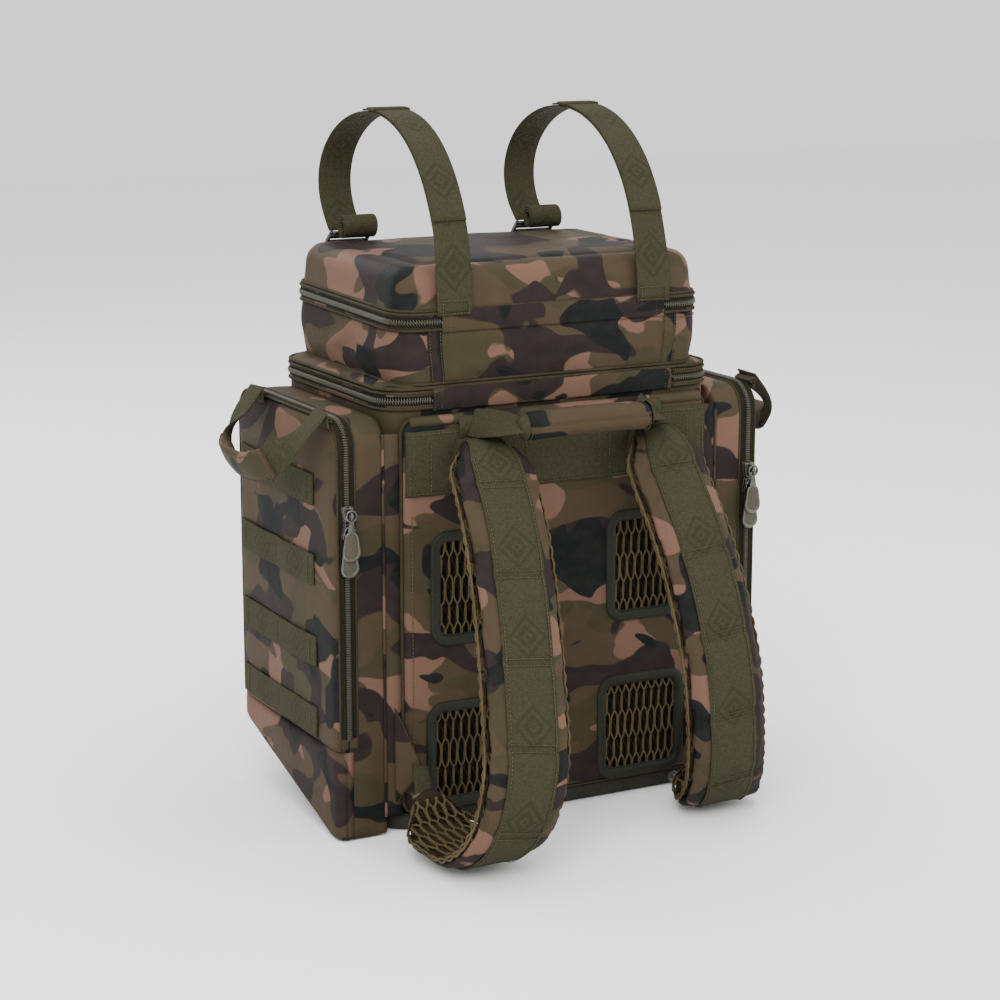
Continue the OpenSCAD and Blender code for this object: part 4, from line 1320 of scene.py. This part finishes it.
def make_pockets():
    side_pocket = (POCKET_Y0, POCKET_Y1, POCKET_Z0, POCKET_TOP, POCKET_FOOT, POCKET_IN, SPLIT_X, POCKET_OUT,
                   POCKET_CROWN)
    front_pocket = (-FRONT_HALF, FRONT_HALF, FRONT_Z0, FRONT_TOP, FRONT_Z0, DEPTH, FRONT_SPLIT, FRONT_Y1,
                    FRONT_CROWN)
    side_rows = (ROW_Z, POCKET_Y0 + 42, POCKET_Y1 - ROW_END)
    front_rows = (FRONT_ROW_Z, ROW_END - FRONT_HALF, FRONT_HALF - ROW_END)
    for side, sizes, rows in (("left", side_pocket, side_rows), ("right", side_pocket, side_rows),
                              ("front", front_pocket, front_rows)):
        pocket = Pocket(side, *sizes)
        pocket.make_walls()
        pocket.make_zip()
        pocket.rows_of_webbing(*rows)


# ---------------------------------------------------------------- handles
HANDLE_PIVOT_X = POCKET_OUT + 3
HANDLE_PIVOT_Z = POCKET_TOP + 8
HANDLE_DROP = radians(50)
HANDLE_Y0, HANDLE_Y1 = 28, 182
HANDLE_REACH = 76


def handle_point(side, u, y, w):
    """A point in a side handle's own plane: u away from the pivot, w out of the plane."""
    x = HANDLE_PIVOT_X + u * cos(HANDLE_DROP) + w * sin(HANDLE_DROP)
    z = HANDLE_PIVOT_Z - u * sin(HANDLE_DROP) + w * cos(HANDLE_DROP)
    return (side * x, y, z)


def handle_direction(side, u, w):
    return [side * (u * cos(HANDLE_DROP) + w * sin(HANDLE_DROP)), 0, -u * sin(HANDLE_DROP) + w * cos(HANDLE_DROP)]


def make_side_handles():
    half_route = [(-2, 28), (18, 30), (38, 36), (56, 48), (69, 66), (75, 86), (HANDLE_REACH, 105)]
    route = smooth_path(half_route + [(u, HANDLE_Y0 + HANDLE_Y1 - y) for u, y in half_route[-2::-1]], 4.0)
    last = len(route) - 1
    held = slice(int(len(route) * 0.30), int(len(route) * 0.70) + 1)      # the part inside the sleeve
    section = [(18.5 * cos(a) * (0.9 + 0.1 * abs(cos(a))), 5.4 * sin(a)) for a in spread(0, 2 * pi, 20)[:-1]]
    over = smooth_path([(SPLIT_X + 8.5, POCKET_TOP + 1.2), (SPLIT_X + 12, POCKET_TOP + 1.4),
                        (POCKET_OUT - 3, POCKET_TOP + 2.4), (POCKET_OUT + 3, POCKET_TOP + 6.0)], 3.0)
    down = smooth_path([(POCKET_OUT + 2.6, POCKET_TOP + 5.0), (POCKET_OUT + 2.2, POCKET_TOP),
                        (POCKET_OUT + 0.6, POCKET_TOP - 6)], 3.0)
    for side, name in ((-1, "left"), (1, "right")):
        handle, panel = name + "_handle", name + "_flap"
        line = [handle_point(side, u, y, 1.5 * sin(pi * i / last)) for i, (u, y) in enumerate(route)]
        ups = [mixed(handle_direction(side, -0.35, 1), handle_direction(side, 1, 0.25),
                     0.92 * ease(min(t, 1 - t) / 0.34)) for t in spread(0, 1, last)]
        web = Shape()
        sweep(web, line, ups, strip_section(ROW_W, 2.0))
        band = web.build(handle + "_band", [WEB])
        place(*handle_point(side, 0, 105, 0))
        place(*handle_point(side, 22, 105, 0))
        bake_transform(band)
        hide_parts(handle + "_webbing")

        part, part_ups = line[held], ups[held]
        count = len(part)
        tube = Shape()
        sweep(tube, part, part_ups, section,
              scales=[0.90 + 0.10 * ease(min(i, count - 1 - i) / 3.0) for i in range(count)])
        sleeve = puff(tube.build(handle + "_pad", [CAMO_STRAP]), 3.0, 3.5, 1.6)
        fit(sleeve, handle, "camo_fabric", handle + "_sleeve")
        tree, frames, tacks = surface_tree(sleeve), path_frames(part, part_ups), Shape()
        for edge in (-1, 1):
            rim = [surface_point(tree, add(point, across, edge * 13.5), out, 0.1)
                   for point, (_, across, out) in zip(part, frames)]
            stitches(tacks, rim[1:-1], frames[count // 2][2], 3.6, THREAD)
        sewn(tacks, handle + "_stitches", handle)
        tabs = Shape()
        for y in (HANDLE_Y0, HANDLE_Y1):
            for strap, up in ((over, (0, 0, 1)), (down, (side, 0, 0))):
                sweep(tabs, [(side * x, y, z) for x, z in strap], up, strip_section(ROW_W, 1.8))
        fit(tabs.build(handle + "_tabs", [WEB]), panel, "olive_webbing")


GRIP_Y, GRIP_Z, GRIP_R = -54, 398, 14.5
HAUL_WEB_W = 34
ANCHOR_X = 97            # where the haul handle's webbing is sewn on


def make_haul_grip():
    half = node_box("top_grip")[1][0] + 9
    tube = Shape()
    sweep(tube, [(x, GRIP_Y, GRIP_Z + 1.5 * (1 - (x / half) ** 2)) for x in spread(-half, half, 40)], (0, 0, 1),
          round_section(GRIP_R - 0.8, 24))
    grip = puff(tube.build("haul_grip_pad", [CAMO_TRIM]), 3.0, 4.0, 1.4)

    def shape_grip(p):
        """Draws the ends in and presses the seam into the side away from the bag."""
        x, y, z = p
        narrow = 0.80 + 0.20 * ease((half - abs(x)) / 9.0)
        seam = 1.9 * exp(-((z - GRIP_Z - 2.0) / 1.5) ** 2) if y < GRIP_Y else 0.0
        angle = atan2(z - GRIP_Z, y - GRIP_Y)
        r = hypot(y - GRIP_Y, z - GRIP_Z) * narrow + 0.25 * ripple(x, y, z, 14.0, 8.0) - seam
        return (x, GRIP_Y + r * cos(angle), GRIP_Z + r * sin(angle))

    each_vertex(grip, shape_grip)
    fit(grip, "haul_handle", "camo_fabric", "top_grip")
    ends, tacks, anchors = Shape(), Shape(), Shape()
    route = smooth_path([(half - 8, GRIP_Y, GRIP_Z + 1), (half + 2, GRIP_Y + 1, GRIP_Z + 1.5),
                         (half + 11, GRIP_Y + 13, GRIP_Z + 1), (half + 20, GRIP_Y + 31, GRIP_Z),
                         (ANCHOR_X, -7.2, GRIP_Z - 1)], 3.0)
    shares = [i / len(route) for i in range(len(route))]
    widths = [(0.55 + 0.45 * ease(t / 0.45)) * (1 - 0.16 * ease(t * 2.5 - 1.5)) for t in shares]
    for side in (-1, 1):
        sweep(ends, [(side * x, y, z) for x, y, z in route],
              [mixed([side * 0.2, -0.5, 1.0], [side * 0.1, -0.9, 0.35], ease(t)) for t in shares],
              strip_section(HAUL_WEB_W, 2.4), scales=widths)
        ends.grid([[(side * (half - 3 + d), GRIP_Y + a, GRIP_Z + 0.3 + b)
                    for a, b in round_section((GRIP_R + 0.4) * (0.88 - 0.07 * d), 24)] for d in range(7)],
                  close_u=True, flip=side < 0)
        ends.cap(range(len(ends.points) - 24, len(ends.points)), flip=side < 0)
        stitches(tacks, [(side * (half - 5), GRIP_Y + (GRIP_R - 0.9) * cos(a), GRIP_Z + (GRIP_R - 0.9) * sin(a))
                         for a in (radians(200 + 10 * k) for k in range(10))], (0, -1, -0.2), 3.2, THREAD)
        anchors.grid([[(side * (ANCHOR_X + 0.5 * u), -4.0 - 4.6 * (1 - abs(v) ** 3), GRIP_Z - 7 + 12 * v)
                       for u in range(-26, 27, 4)] for v in (-1, -0.9, -0.7, -0.4, 0, 0.4, 0.7, 0.9, 1)],
                     flip=side > 0)
    webbing_ends = ends.build("haul_grip_ends", [WEB])
    place(0, -8, GRIP_Z)
    place(0, -30, GRIP_Z)
    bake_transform(webbing_ends)
    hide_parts("top_grip_webbing")
    sewn(tacks, "haul_grip_stitches", "haul_handle")
    fit(solidify(anchors.build("haul_anchors", [WEB]), 1.4, 0), "pack", "olive_webbing")


# ---------------------------------------------------------------- shoulder straps
ROUTES = {
    "left": [[-95, -14, 376], [-95, -36, 373], [-97, -62, 346], [-101, -92, 302], [-107, -121, 242],
             [-115, -149, 172], [-126, -174, 106], [-137, -166, 48], [-146, -130, 16], [-153, -86, 16],
             [-157, -48, 26], [-160, -30, 54]],
    "right": [[95, -14, 374], [95, -34, 366], [97, -60, 328], [102, -88, 282], [108, -110, 225],
              [114, -125, 162], [120, -125, 102], [128, -112, 48], [136, -86, 18], [147, -58, 16],
              [155, -38, 30], [160, -30, 54]],
}
SEAMS = {"left": (62, 148, 228, 306, 384), "right": (52, 138, 218, 296, 366)}
PAD_W = 88.0
PAD_T = 15.0


WEB_HALF = 25.0          # half width of the webbing on the pads
WEB_SHARES = (-1, -0.6, -0.2, 0.2, 0.6, 1)          # points across half the strap's webbing
MESH_PITCH, MESH_ROW = 9.5, 22.0


class ShoulderStrap:
    """A padded strap along its route: s is the length along it and u the distance across."""

    def __init__(self, name):
        self.name, self.side, self.body = name, -1 if name == "left" else 1, name + "_strap"
        self.route = smooth_path(ROUTES[name], 5.0)
        self.along = lengths(self.route)
        self.total = self.along[-1]
        self.frames = []
        for tangent, _, _ in path_frames(self.route, AWAY):
            across = unit(sub((1, 0, 0), [tangent[0] * c for c in tangent]))
            self.frames.append((tangent, across, cross(tangent, across)))
        cushion = self.make_cushion()
        self.tree = surface_tree(cushion)
        self.make_webbing()
        self.make_stitches()
        self.make_mesh()
        self.make_ends()

    def half(self, s):
        """Half width along the strap: narrow at the anchor and at the lower end."""
        return PAD_W / 2 * min(0.52 + 0.48 * ease(s / 46.0), 0.36 + 0.64 * ease((self.total - s) / 62.0))

    def narrow(self, s):
        """How much narrower than on the full pad the webbing is."""
        return min(1.0, self.half(s) / (PAD_W / 2) + 0.05)

    def at(self, s, u):
        """The point at length s and u across the route, with its across and out directions."""
        i = min(range(len(self.along)), key=lambda k: abs(self.along[k] - s))
        tangent, across, out = self.frames[i]
        return add(add(self.route[i], tangent, s - self.along[i]), across, u), across, out

    def nearest(self, p):
        best, index = 1e18, 0
        for i, q in enumerate(self.route):
            d = (p[0] - q[0]) ** 2 + (p[1] - q[1]) ** 2 + (p[2] - q[2]) ** 2
            if d < best:
                best, index = d, i
        return index

    def sewn(self, p):
        """Where a point of the puffed pad goes when the cross seams and edge channels are sewn."""
        i = self.nearest(p)
        tangent, across, out = self.frames[i]
        offset = sub(p, self.route[i])
        s, height = self.along[i] + dot(offset, tangent), dot(offset, out)
        u = abs(dot(offset, across) / max(1.0, self.half(s)))
        pinch = min(1.0, sum(exp(-((s - seam) / 5.0) ** 2) for seam in SEAMS[self.name]))
        squeeze = 0.30 * pinch * (1 - 0.5 * u ** 6)
        if height > 0:
            squeeze += 0.16 * exp(-((u - 0.80) / 0.05) ** 2)
        wrinkle = 0.5 * ripple(p[0] * 1.4, p[1], p[2], 20.0, 2.7) * (1 if height > 0 else 0.2)
        return add(add(p, out, -height * squeeze), out, wrinkle)

    def make_cushion(self):
        pad = Shape()
        outline = [(copysign(abs(cos(a)) ** 0.5, cos(a)), copysign(abs(sin(a)) ** 0.75, sin(a)))
                   for a in (2 * pi * i / 32 for i in range(32))]
        pad.tube([[add(add(point, across, (self.half(s) - 1.5) * u), out, (PAD_T / 2 - 1.2) * v)
                   for u, v in outline] for point, (_, across, out), s in zip(self.route, self.frames, self.along)])
        cushion = puff(pad.build(self.name + "_shoulder_cushion", [CAMO_STRAP, SHADED_MESH_BACK]), 4.0, 5.0, 2.4)
        each_vertex(cushion, self.sewn)
        below = []
        for vertex in cushion.data.vertices:
            p = working(vertex.co)
            i = self.nearest(p)
            below.append(dot(sub(p, self.route[i]), self.frames[i][2]) < -1.5)
        # Faces on the pad's underside take the darker mesh colour: painted shade under the mesh.
        for polygon in cushion.data.polygons:
            polygon.material_index = 1 if all(below[v] for v in polygon.vertices) else 0
        fit(cushion, self.body, "camo_fabric", self.name + "_shoulder_pad")
        return cushion

    def make_webbing(self):
        web = Shape()
        rows, uvs = [], []
        for point, (_, across, out), s in zip(self.route, self.frames, self.along):
            half = WEB_HALF * self.narrow(s)
            top = [surface_point(self.tree, add(point, across, half * u), out, 1.7) for u in WEB_SHARES]
            heights = [dot(sub(q, point), out) for q in top]
            face = [add(q, out, 0.55 * (max(heights) - own)) for q, own in zip(top, heights)]
            under = [add(q, out, -1.6) for q in face[::-1]]
            right, left = (add(add(q, across, d), out, -0.8) for q, d in ((face[-1], 0.7), (face[0], -0.7)))
            rows.append([*face, right, *under, left])
            uvs.append([(s * MM, half * u * MM) for u in (*WEB_SHARES, 1.02, *WEB_SHARES[::-1], -1.02)])
        web.tube(rows, uvs)
        fit(web.build(self.body + "_band", [WEB_PATTERN]), self.body, "olive_webbing", self.name + "_shoulder_webbing")

    def on_webbing(self, s, u):
        base, _, out = self.at(s, u * self.narrow(s))
        return surface_point(self.tree, base, out, 2.3)

    def make_stitches(self):
        tacks = Shape()
        for seam in SEAMS[self.name]:
            for ds in (-3.2, 3.2):
                stitches(tacks, [self.on_webbing(seam + ds, u) for u in range(-23, 24, 3)], self.at(seam, 0)[2],
                         3.0, THREAD)
        stops = range(8, int(self.total) - 8, 5)
        outs = [self.at(s, 0)[2] for s in stops]
        for u in (2.4 - WEB_HALF, WEB_HALF - 2.4):
            stitches(tacks, [self.on_webbing(s, u) for s in stops],
                     lambda d: outs[min(len(outs) - 1, int(d / 5))], 3.8, THREAD)
        sewn(tacks, self.body + "_stitches", self.body)

    def mesh_layer(self, depth, radius, phase, inset, cord, cord_swing, cord_drop):
        """One layer of the spacer mesh under the pad, and the two cords twisted along each edge."""
        layer = Shape()
        strands = int(PAD_W / MESH_PITCH) + 3
        for m in range(-strands, strands + 1):
            lean = 1 if m % 2 else -1
            line, ups = [], []
            s = 6.0
            while s < self.total - 9:
                turn = squared(cos(pi * s / MESH_ROW + pi * phase))
                x = (m // 2) * MESH_PITCH + lean * (MESH_PITCH / 4) * (1 - turn) + lean * radius * 0.5 * abs(turn)
                point, _, out = self.at(s, x)
                room = self.half(s) - inset - abs(x)
                if room >= 0:
                    rise = depth * (0.55 + 0.45 * ease(room / 7.0)) - 0.8 * (1 - abs(turn))
                    line.append(add(point, out, rise + ripple(x, s, 0, 14.0, m)))
                    ups.append([-c for c in out])
                else:
                    strand(layer, line, ups, radius, 4)
                    line, ups = [], []
                s += MESH_ROW / 7
            strand(layer, line, ups, radius, 4)
        for edge in (-1, 1):
            for twist in (0, 1):
                line, ups = [], []
                s = 8.0
                while s < self.total - 10:
                    swing = sin(2 * pi * s / 26.0 + pi * twist)
                    point, across, out = self.at(s, edge * (self.half(s) - 2.0 + cord_swing * abs(swing)))
                    line.append(add(point, out, 2.0 * swing - cord_drop))
                    ups.append([edge * c for c in across])
                    s += 4.0
                sweep(layer, line, ups, round_section(cord, 5))
        return layer

    def make_mesh(self):
        front = self.mesh_layer(-PAD_T / 2 - 1.6, 1.25, 0.0, 1.2, 1.15, 1.0, 5.4)
        # The rear layer takes the darker mesh colour: painted shade behind the front strands.
        rear = self.mesh_layer(-PAD_T / 2 + 0.4, 1.0, 0.5, 2.2, 0.9, 0.2, 6.6)
        fit(front.build(self.body + "_mesh", [MESH_STRAND]), self.body, "spacer_mesh")
        fit(rear.build(self.body + "_mesh_rear", [SHADED_MESH_BACK]), self.body, "spacer_mesh")

    def sewn_end(self, name, rows, uvs, thickness, offset, fixed, moving):
        """A flat webbing end between the pack and the strap."""
        web = Shape()
        web.grid(rows, uv=uvs, flip=True)
        end = solidify(web.build(self.body + name, [WEB]), thickness, 0, offset)
        bake_modifiers(end)
        place(*fixed)
        place(*moving)
        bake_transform(end)

    def make_ends(self):
        across = (-1, -0.5, 0, 0.5, 1)
        x, y, z = ROUTES[self.name][0]
        rows, uvs = [], []
        for t in spread(0, 1, 7):
            row_y, row_z = mixed([-6.2, z - 22], [y - 6, z + PAD_T / 2 + 1.5], ease(t))
            rows.append([(x + u * WEB_HALF, row_y - 1.0 * sin(pi * t), row_z) for u in across])
            uvs.append([(30 * t * MM, u * WEB_HALF * MM) for u in across])
        self.sewn_end("_root", rows, uvs, 2.0, -1.0, (x, -6, z), (x, -20, z))

        x, y, z = ROUTES[self.name][-1]
        tip = (self.side * 159, -18, 70)
        rows, uvs = [], []
        for t in spread(0, 1, 7):
            a, b, c = mixed([x, y - 2, z - 10], add(tip, (0, -1.5, 4)), t)
            half = 11.0 - 2.0 * t
            rows.append([(a + u * half * 0.9, b - 1.0 * (1 - u * u), c + self.side * u * 2) for u in across])
            uvs.append([(40 * t * MM, u * half * MM) for u in across])
        self.sewn_end("_tail", rows, uvs, 2.2, 0.0, tip, (x, y - 2, z - 8))


# ---------------------------------------------------------------- sliders and pullers
def facing(kind, x, y, z):
    """Turns a slider's own (right, up, out) point into the working frame."""
    if kind == "back":
        return lambda a, b, c: (x + a, y - c, z + b)
    if kind == "front":
        return lambda a, b, c: (x - a, y + c, z + b)
    return lambda a, b, c: (x + c, y + a, z + b)


def make_slider(name, layer, turn, to_point, body):
    """Zip slider with its bridge; turn is the angle of the zip line in degrees."""
    c, s = cos(radians(turn)), sin(radians(turn))

    def local(a, b, h):
        return to_point(a * c - b * s, a * s + b * c, h)

    shape = Shape()
    outline = [(-3.4, -7), (-2.2, -7.8), (2.2, -7.8), (3.4, -7), (4.3, -1), (5.4, 3), (5.6, 6.4), (4.6, 7.6),
               (1.4, 7.4), (0, 6.2), (-1.4, 7.4), (-4.6, 7.6), (-5.6, 6.4), (-5.4, 3), (-4.3, -1)]
    prism(shape, outline, 2.2, 4.4, 0.7, local)
    prism(shape, outline, -0.8, 0.6, 0.4, local)
    prism(shape, [(-1.2, 2), (1.2, 2), (1.4, 6), (-1.4, 6)], 0.4, 2.6, 0.2, local)
    bridge = []
    for i in range(13):
        t = i / 12
        bridge.append(local(0, -5.5 + 10.5 * t, 3.4 + (layer + 0.6) * sin(pi * t) ** 0.45))
    sweep(shape, bridge, sub(local(1, 0, 0), local(0, 0, 0)),
          [(a * 0.9, b * 1.6) for a, b in round_section(1.0, 10)])
    turned(shape, [(1.9, 3.0), (1.9, layer + 2.0), (2.3, layer + 2.4), (2.2, layer + 3.1), (1.2, layer + 3.5),
                   (0.2, layer + 3.6)], to_point, 16)
    fit(shape.build(name + "_metal", [GUNMETAL]), body, "zip_metal", name)


def make_puller(name, layer, to_point, body):
    """Round eye, short neck and a long oval plate with a bright rim and an olive inlay."""
    shape = Shape()
    z = layer + 1.1
    out = sub(to_point(0, 0, 1), to_point(0, 0, 0))
    eye = [to_point(5.0 * cos(radians(15 * k)), 5.0 * sin(radians(15 * k)), z) for k in range(24)]
    sweep(shape, eye, out, round_section(1.15, 10), closed=True)
    prism(shape, [(-2.0, -4.6), (2.0, -4.6), (2.9, -9.0), (3.9, -15), (-3.9, -15), (-2.9, -9.0)],
          layer + 0.1, layer + 2.1, 0.5, to_point)

    def oval(inset):
        points = []
        for k in range(17):
            a = radians(180 * k / 16)
            points.append(((7.2 - inset) * cos(a), -21.5 + (7.2 - inset) * sin(a)))
        for k in range(17):
            a = radians(180 + 180 * k / 16)
            points.append(((9 - inset) * cos(a), -34 + (9 - inset) * sin(a)))
        return points

    edge = oval(1.25)
    heavier = [1.0 + 0.55 * ease((-30 - b) / 12) for _, b in edge]
    sweep(shape, [to_point(a, b, z) for a, b in edge], out,
          [(a * 1.35, b * 1.15) for a, b in round_section(1.0, 10)], closed=True, scales=heavier)
    inlay = Shape()
    prism(inlay, oval(2.0), layer + 0.35, layer + 1.85, 0.5, to_point)
    fit(shape.build(name + "_metal", [GUNMETAL]), body, "zip_metal", name)
    fit(inlay.build(name + "_inlay", [INLAY]), body, "zip_metal")


def make_sliders():
    face = POCKET_Y0 - 1.6
    placed = [("main_slider_a", "main_puller_a", "front", -9, DEPTH + 1.6, MAIN_ZIP, 10, 90),
              ("main_slider_b", "main_puller_b", "front", 9, DEPTH + 1.6, MAIN_ZIP, 6, -90),
              ("top_slider", "top_puller", "front", 0, TRAY_Y1 + 1.6, TOP_ZIP, 6, 90),
              ("front_slider", "front_puller", "side", FRONT_HALF + 1.6, FRONT_SPLIT, 180, 6, 0)]
    for side, name in ((-1, "left"), (1, "right")):
        placed.append((name + "_slider_upper", name + "_puller_upper", "back", side * SPLIT_X, face, 320, 10, 0))
        placed.append((name + "_slider_lower", name + "_puller_lower", "back", side * SPLIT_X, face, 304, 6, 180))
    for slider, puller, kind, x, y, z, layer, turn in placed:
        to_point = facing(kind, x, y, z)
        make_slider(slider, layer, turn, to_point, slider)
        make_puller(puller, layer, to_point, puller)


# ---------------------------------------------------------------- studio
def studio():
    bpy.ops.mesh.primitive_plane_add(size=14, location=(0, 0, 0))
    floor = bpy.context.object
    floor.name = "floor"
    n = Nodes("floor_white")
    floor.data.materials.append(n.finish(srgb(250, 250, 250), 0.9, 0.1))
    world = bpy.data.worlds.new("studio")
    world.use_nodes = True
    world.node_tree.nodes["Background"].inputs[0].default_value = (1, 1, 1, 1)
    world.node_tree.nodes["Background"].inputs[1].default_value = 1.25
    bpy.context.scene.world = world
    for name, position, size, power in (("key", (-1.6, -2.2, 2.6), 2.2, 105), ("fill", (2.4, -1.8, 1.5), 2.4, 36),
                                        ("top", (0.2, 0.4, 3.2), 2.6, 60), ("back", (-0.6, 2.6, 2.0), 2.0, 34)):
        light = bpy.data.lights.new(name, "AREA")
        light.size = size
        light.energy = power
        lamp = bpy.data.objects.new(name, light)
        lamp.location = position
        lamp.rotation_euler = (Vector((0, 0, 0.3)) - Vector(position)).to_track_quat("-Z", "Y").to_euler()
        bpy.context.collection.objects.link(lamp)


AZIMUTH, ELEVATION, DISTANCE = -28.0, 12.4, 2342.0
TARGET = (-62.7, 0.0, 318.0)


def camera():
    a, e = radians(AZIMUTH), radians(ELEVATION)
    back = (sin(a) * cos(e), -cos(a) * cos(e), sin(e))
    data = bpy.data.cameras.new("camera")
    data.sensor_width = 36.0
    data.lens = 36.0 * 2.46
    lens = bpy.data.objects.new("camera", data)
    lens.location = place(*add(TARGET, back, DISTANCE))
    lens.rotation_euler = (-Vector(back)).to_track_quat("-Z", "Y").to_euler()
    bpy.context.collection.objects.link(lens)
    bpy.context.scene.camera = lens


make_body()
make_panel()
make_corner_strips()
make_wings()
make_ring_zips()
make_hinge("main_hinge_fabric", BODY_PATH, HINGE_HALF, MAIN_ZIP, "main_hinge_band")
make_hinge("top_hinge_fabric", TRAY_PATH, TOP_HINGE_HALF, TOP_ZIP, "top_hinge_band")
make_lid()
make_cover()
make_top_straps()
make_buckles()
make_pockets()
make_side_handles()
make_haul_grip()
ShoulderStrap("left")
ShoulderStrap("right")
make_sliders()
studio()
camera()
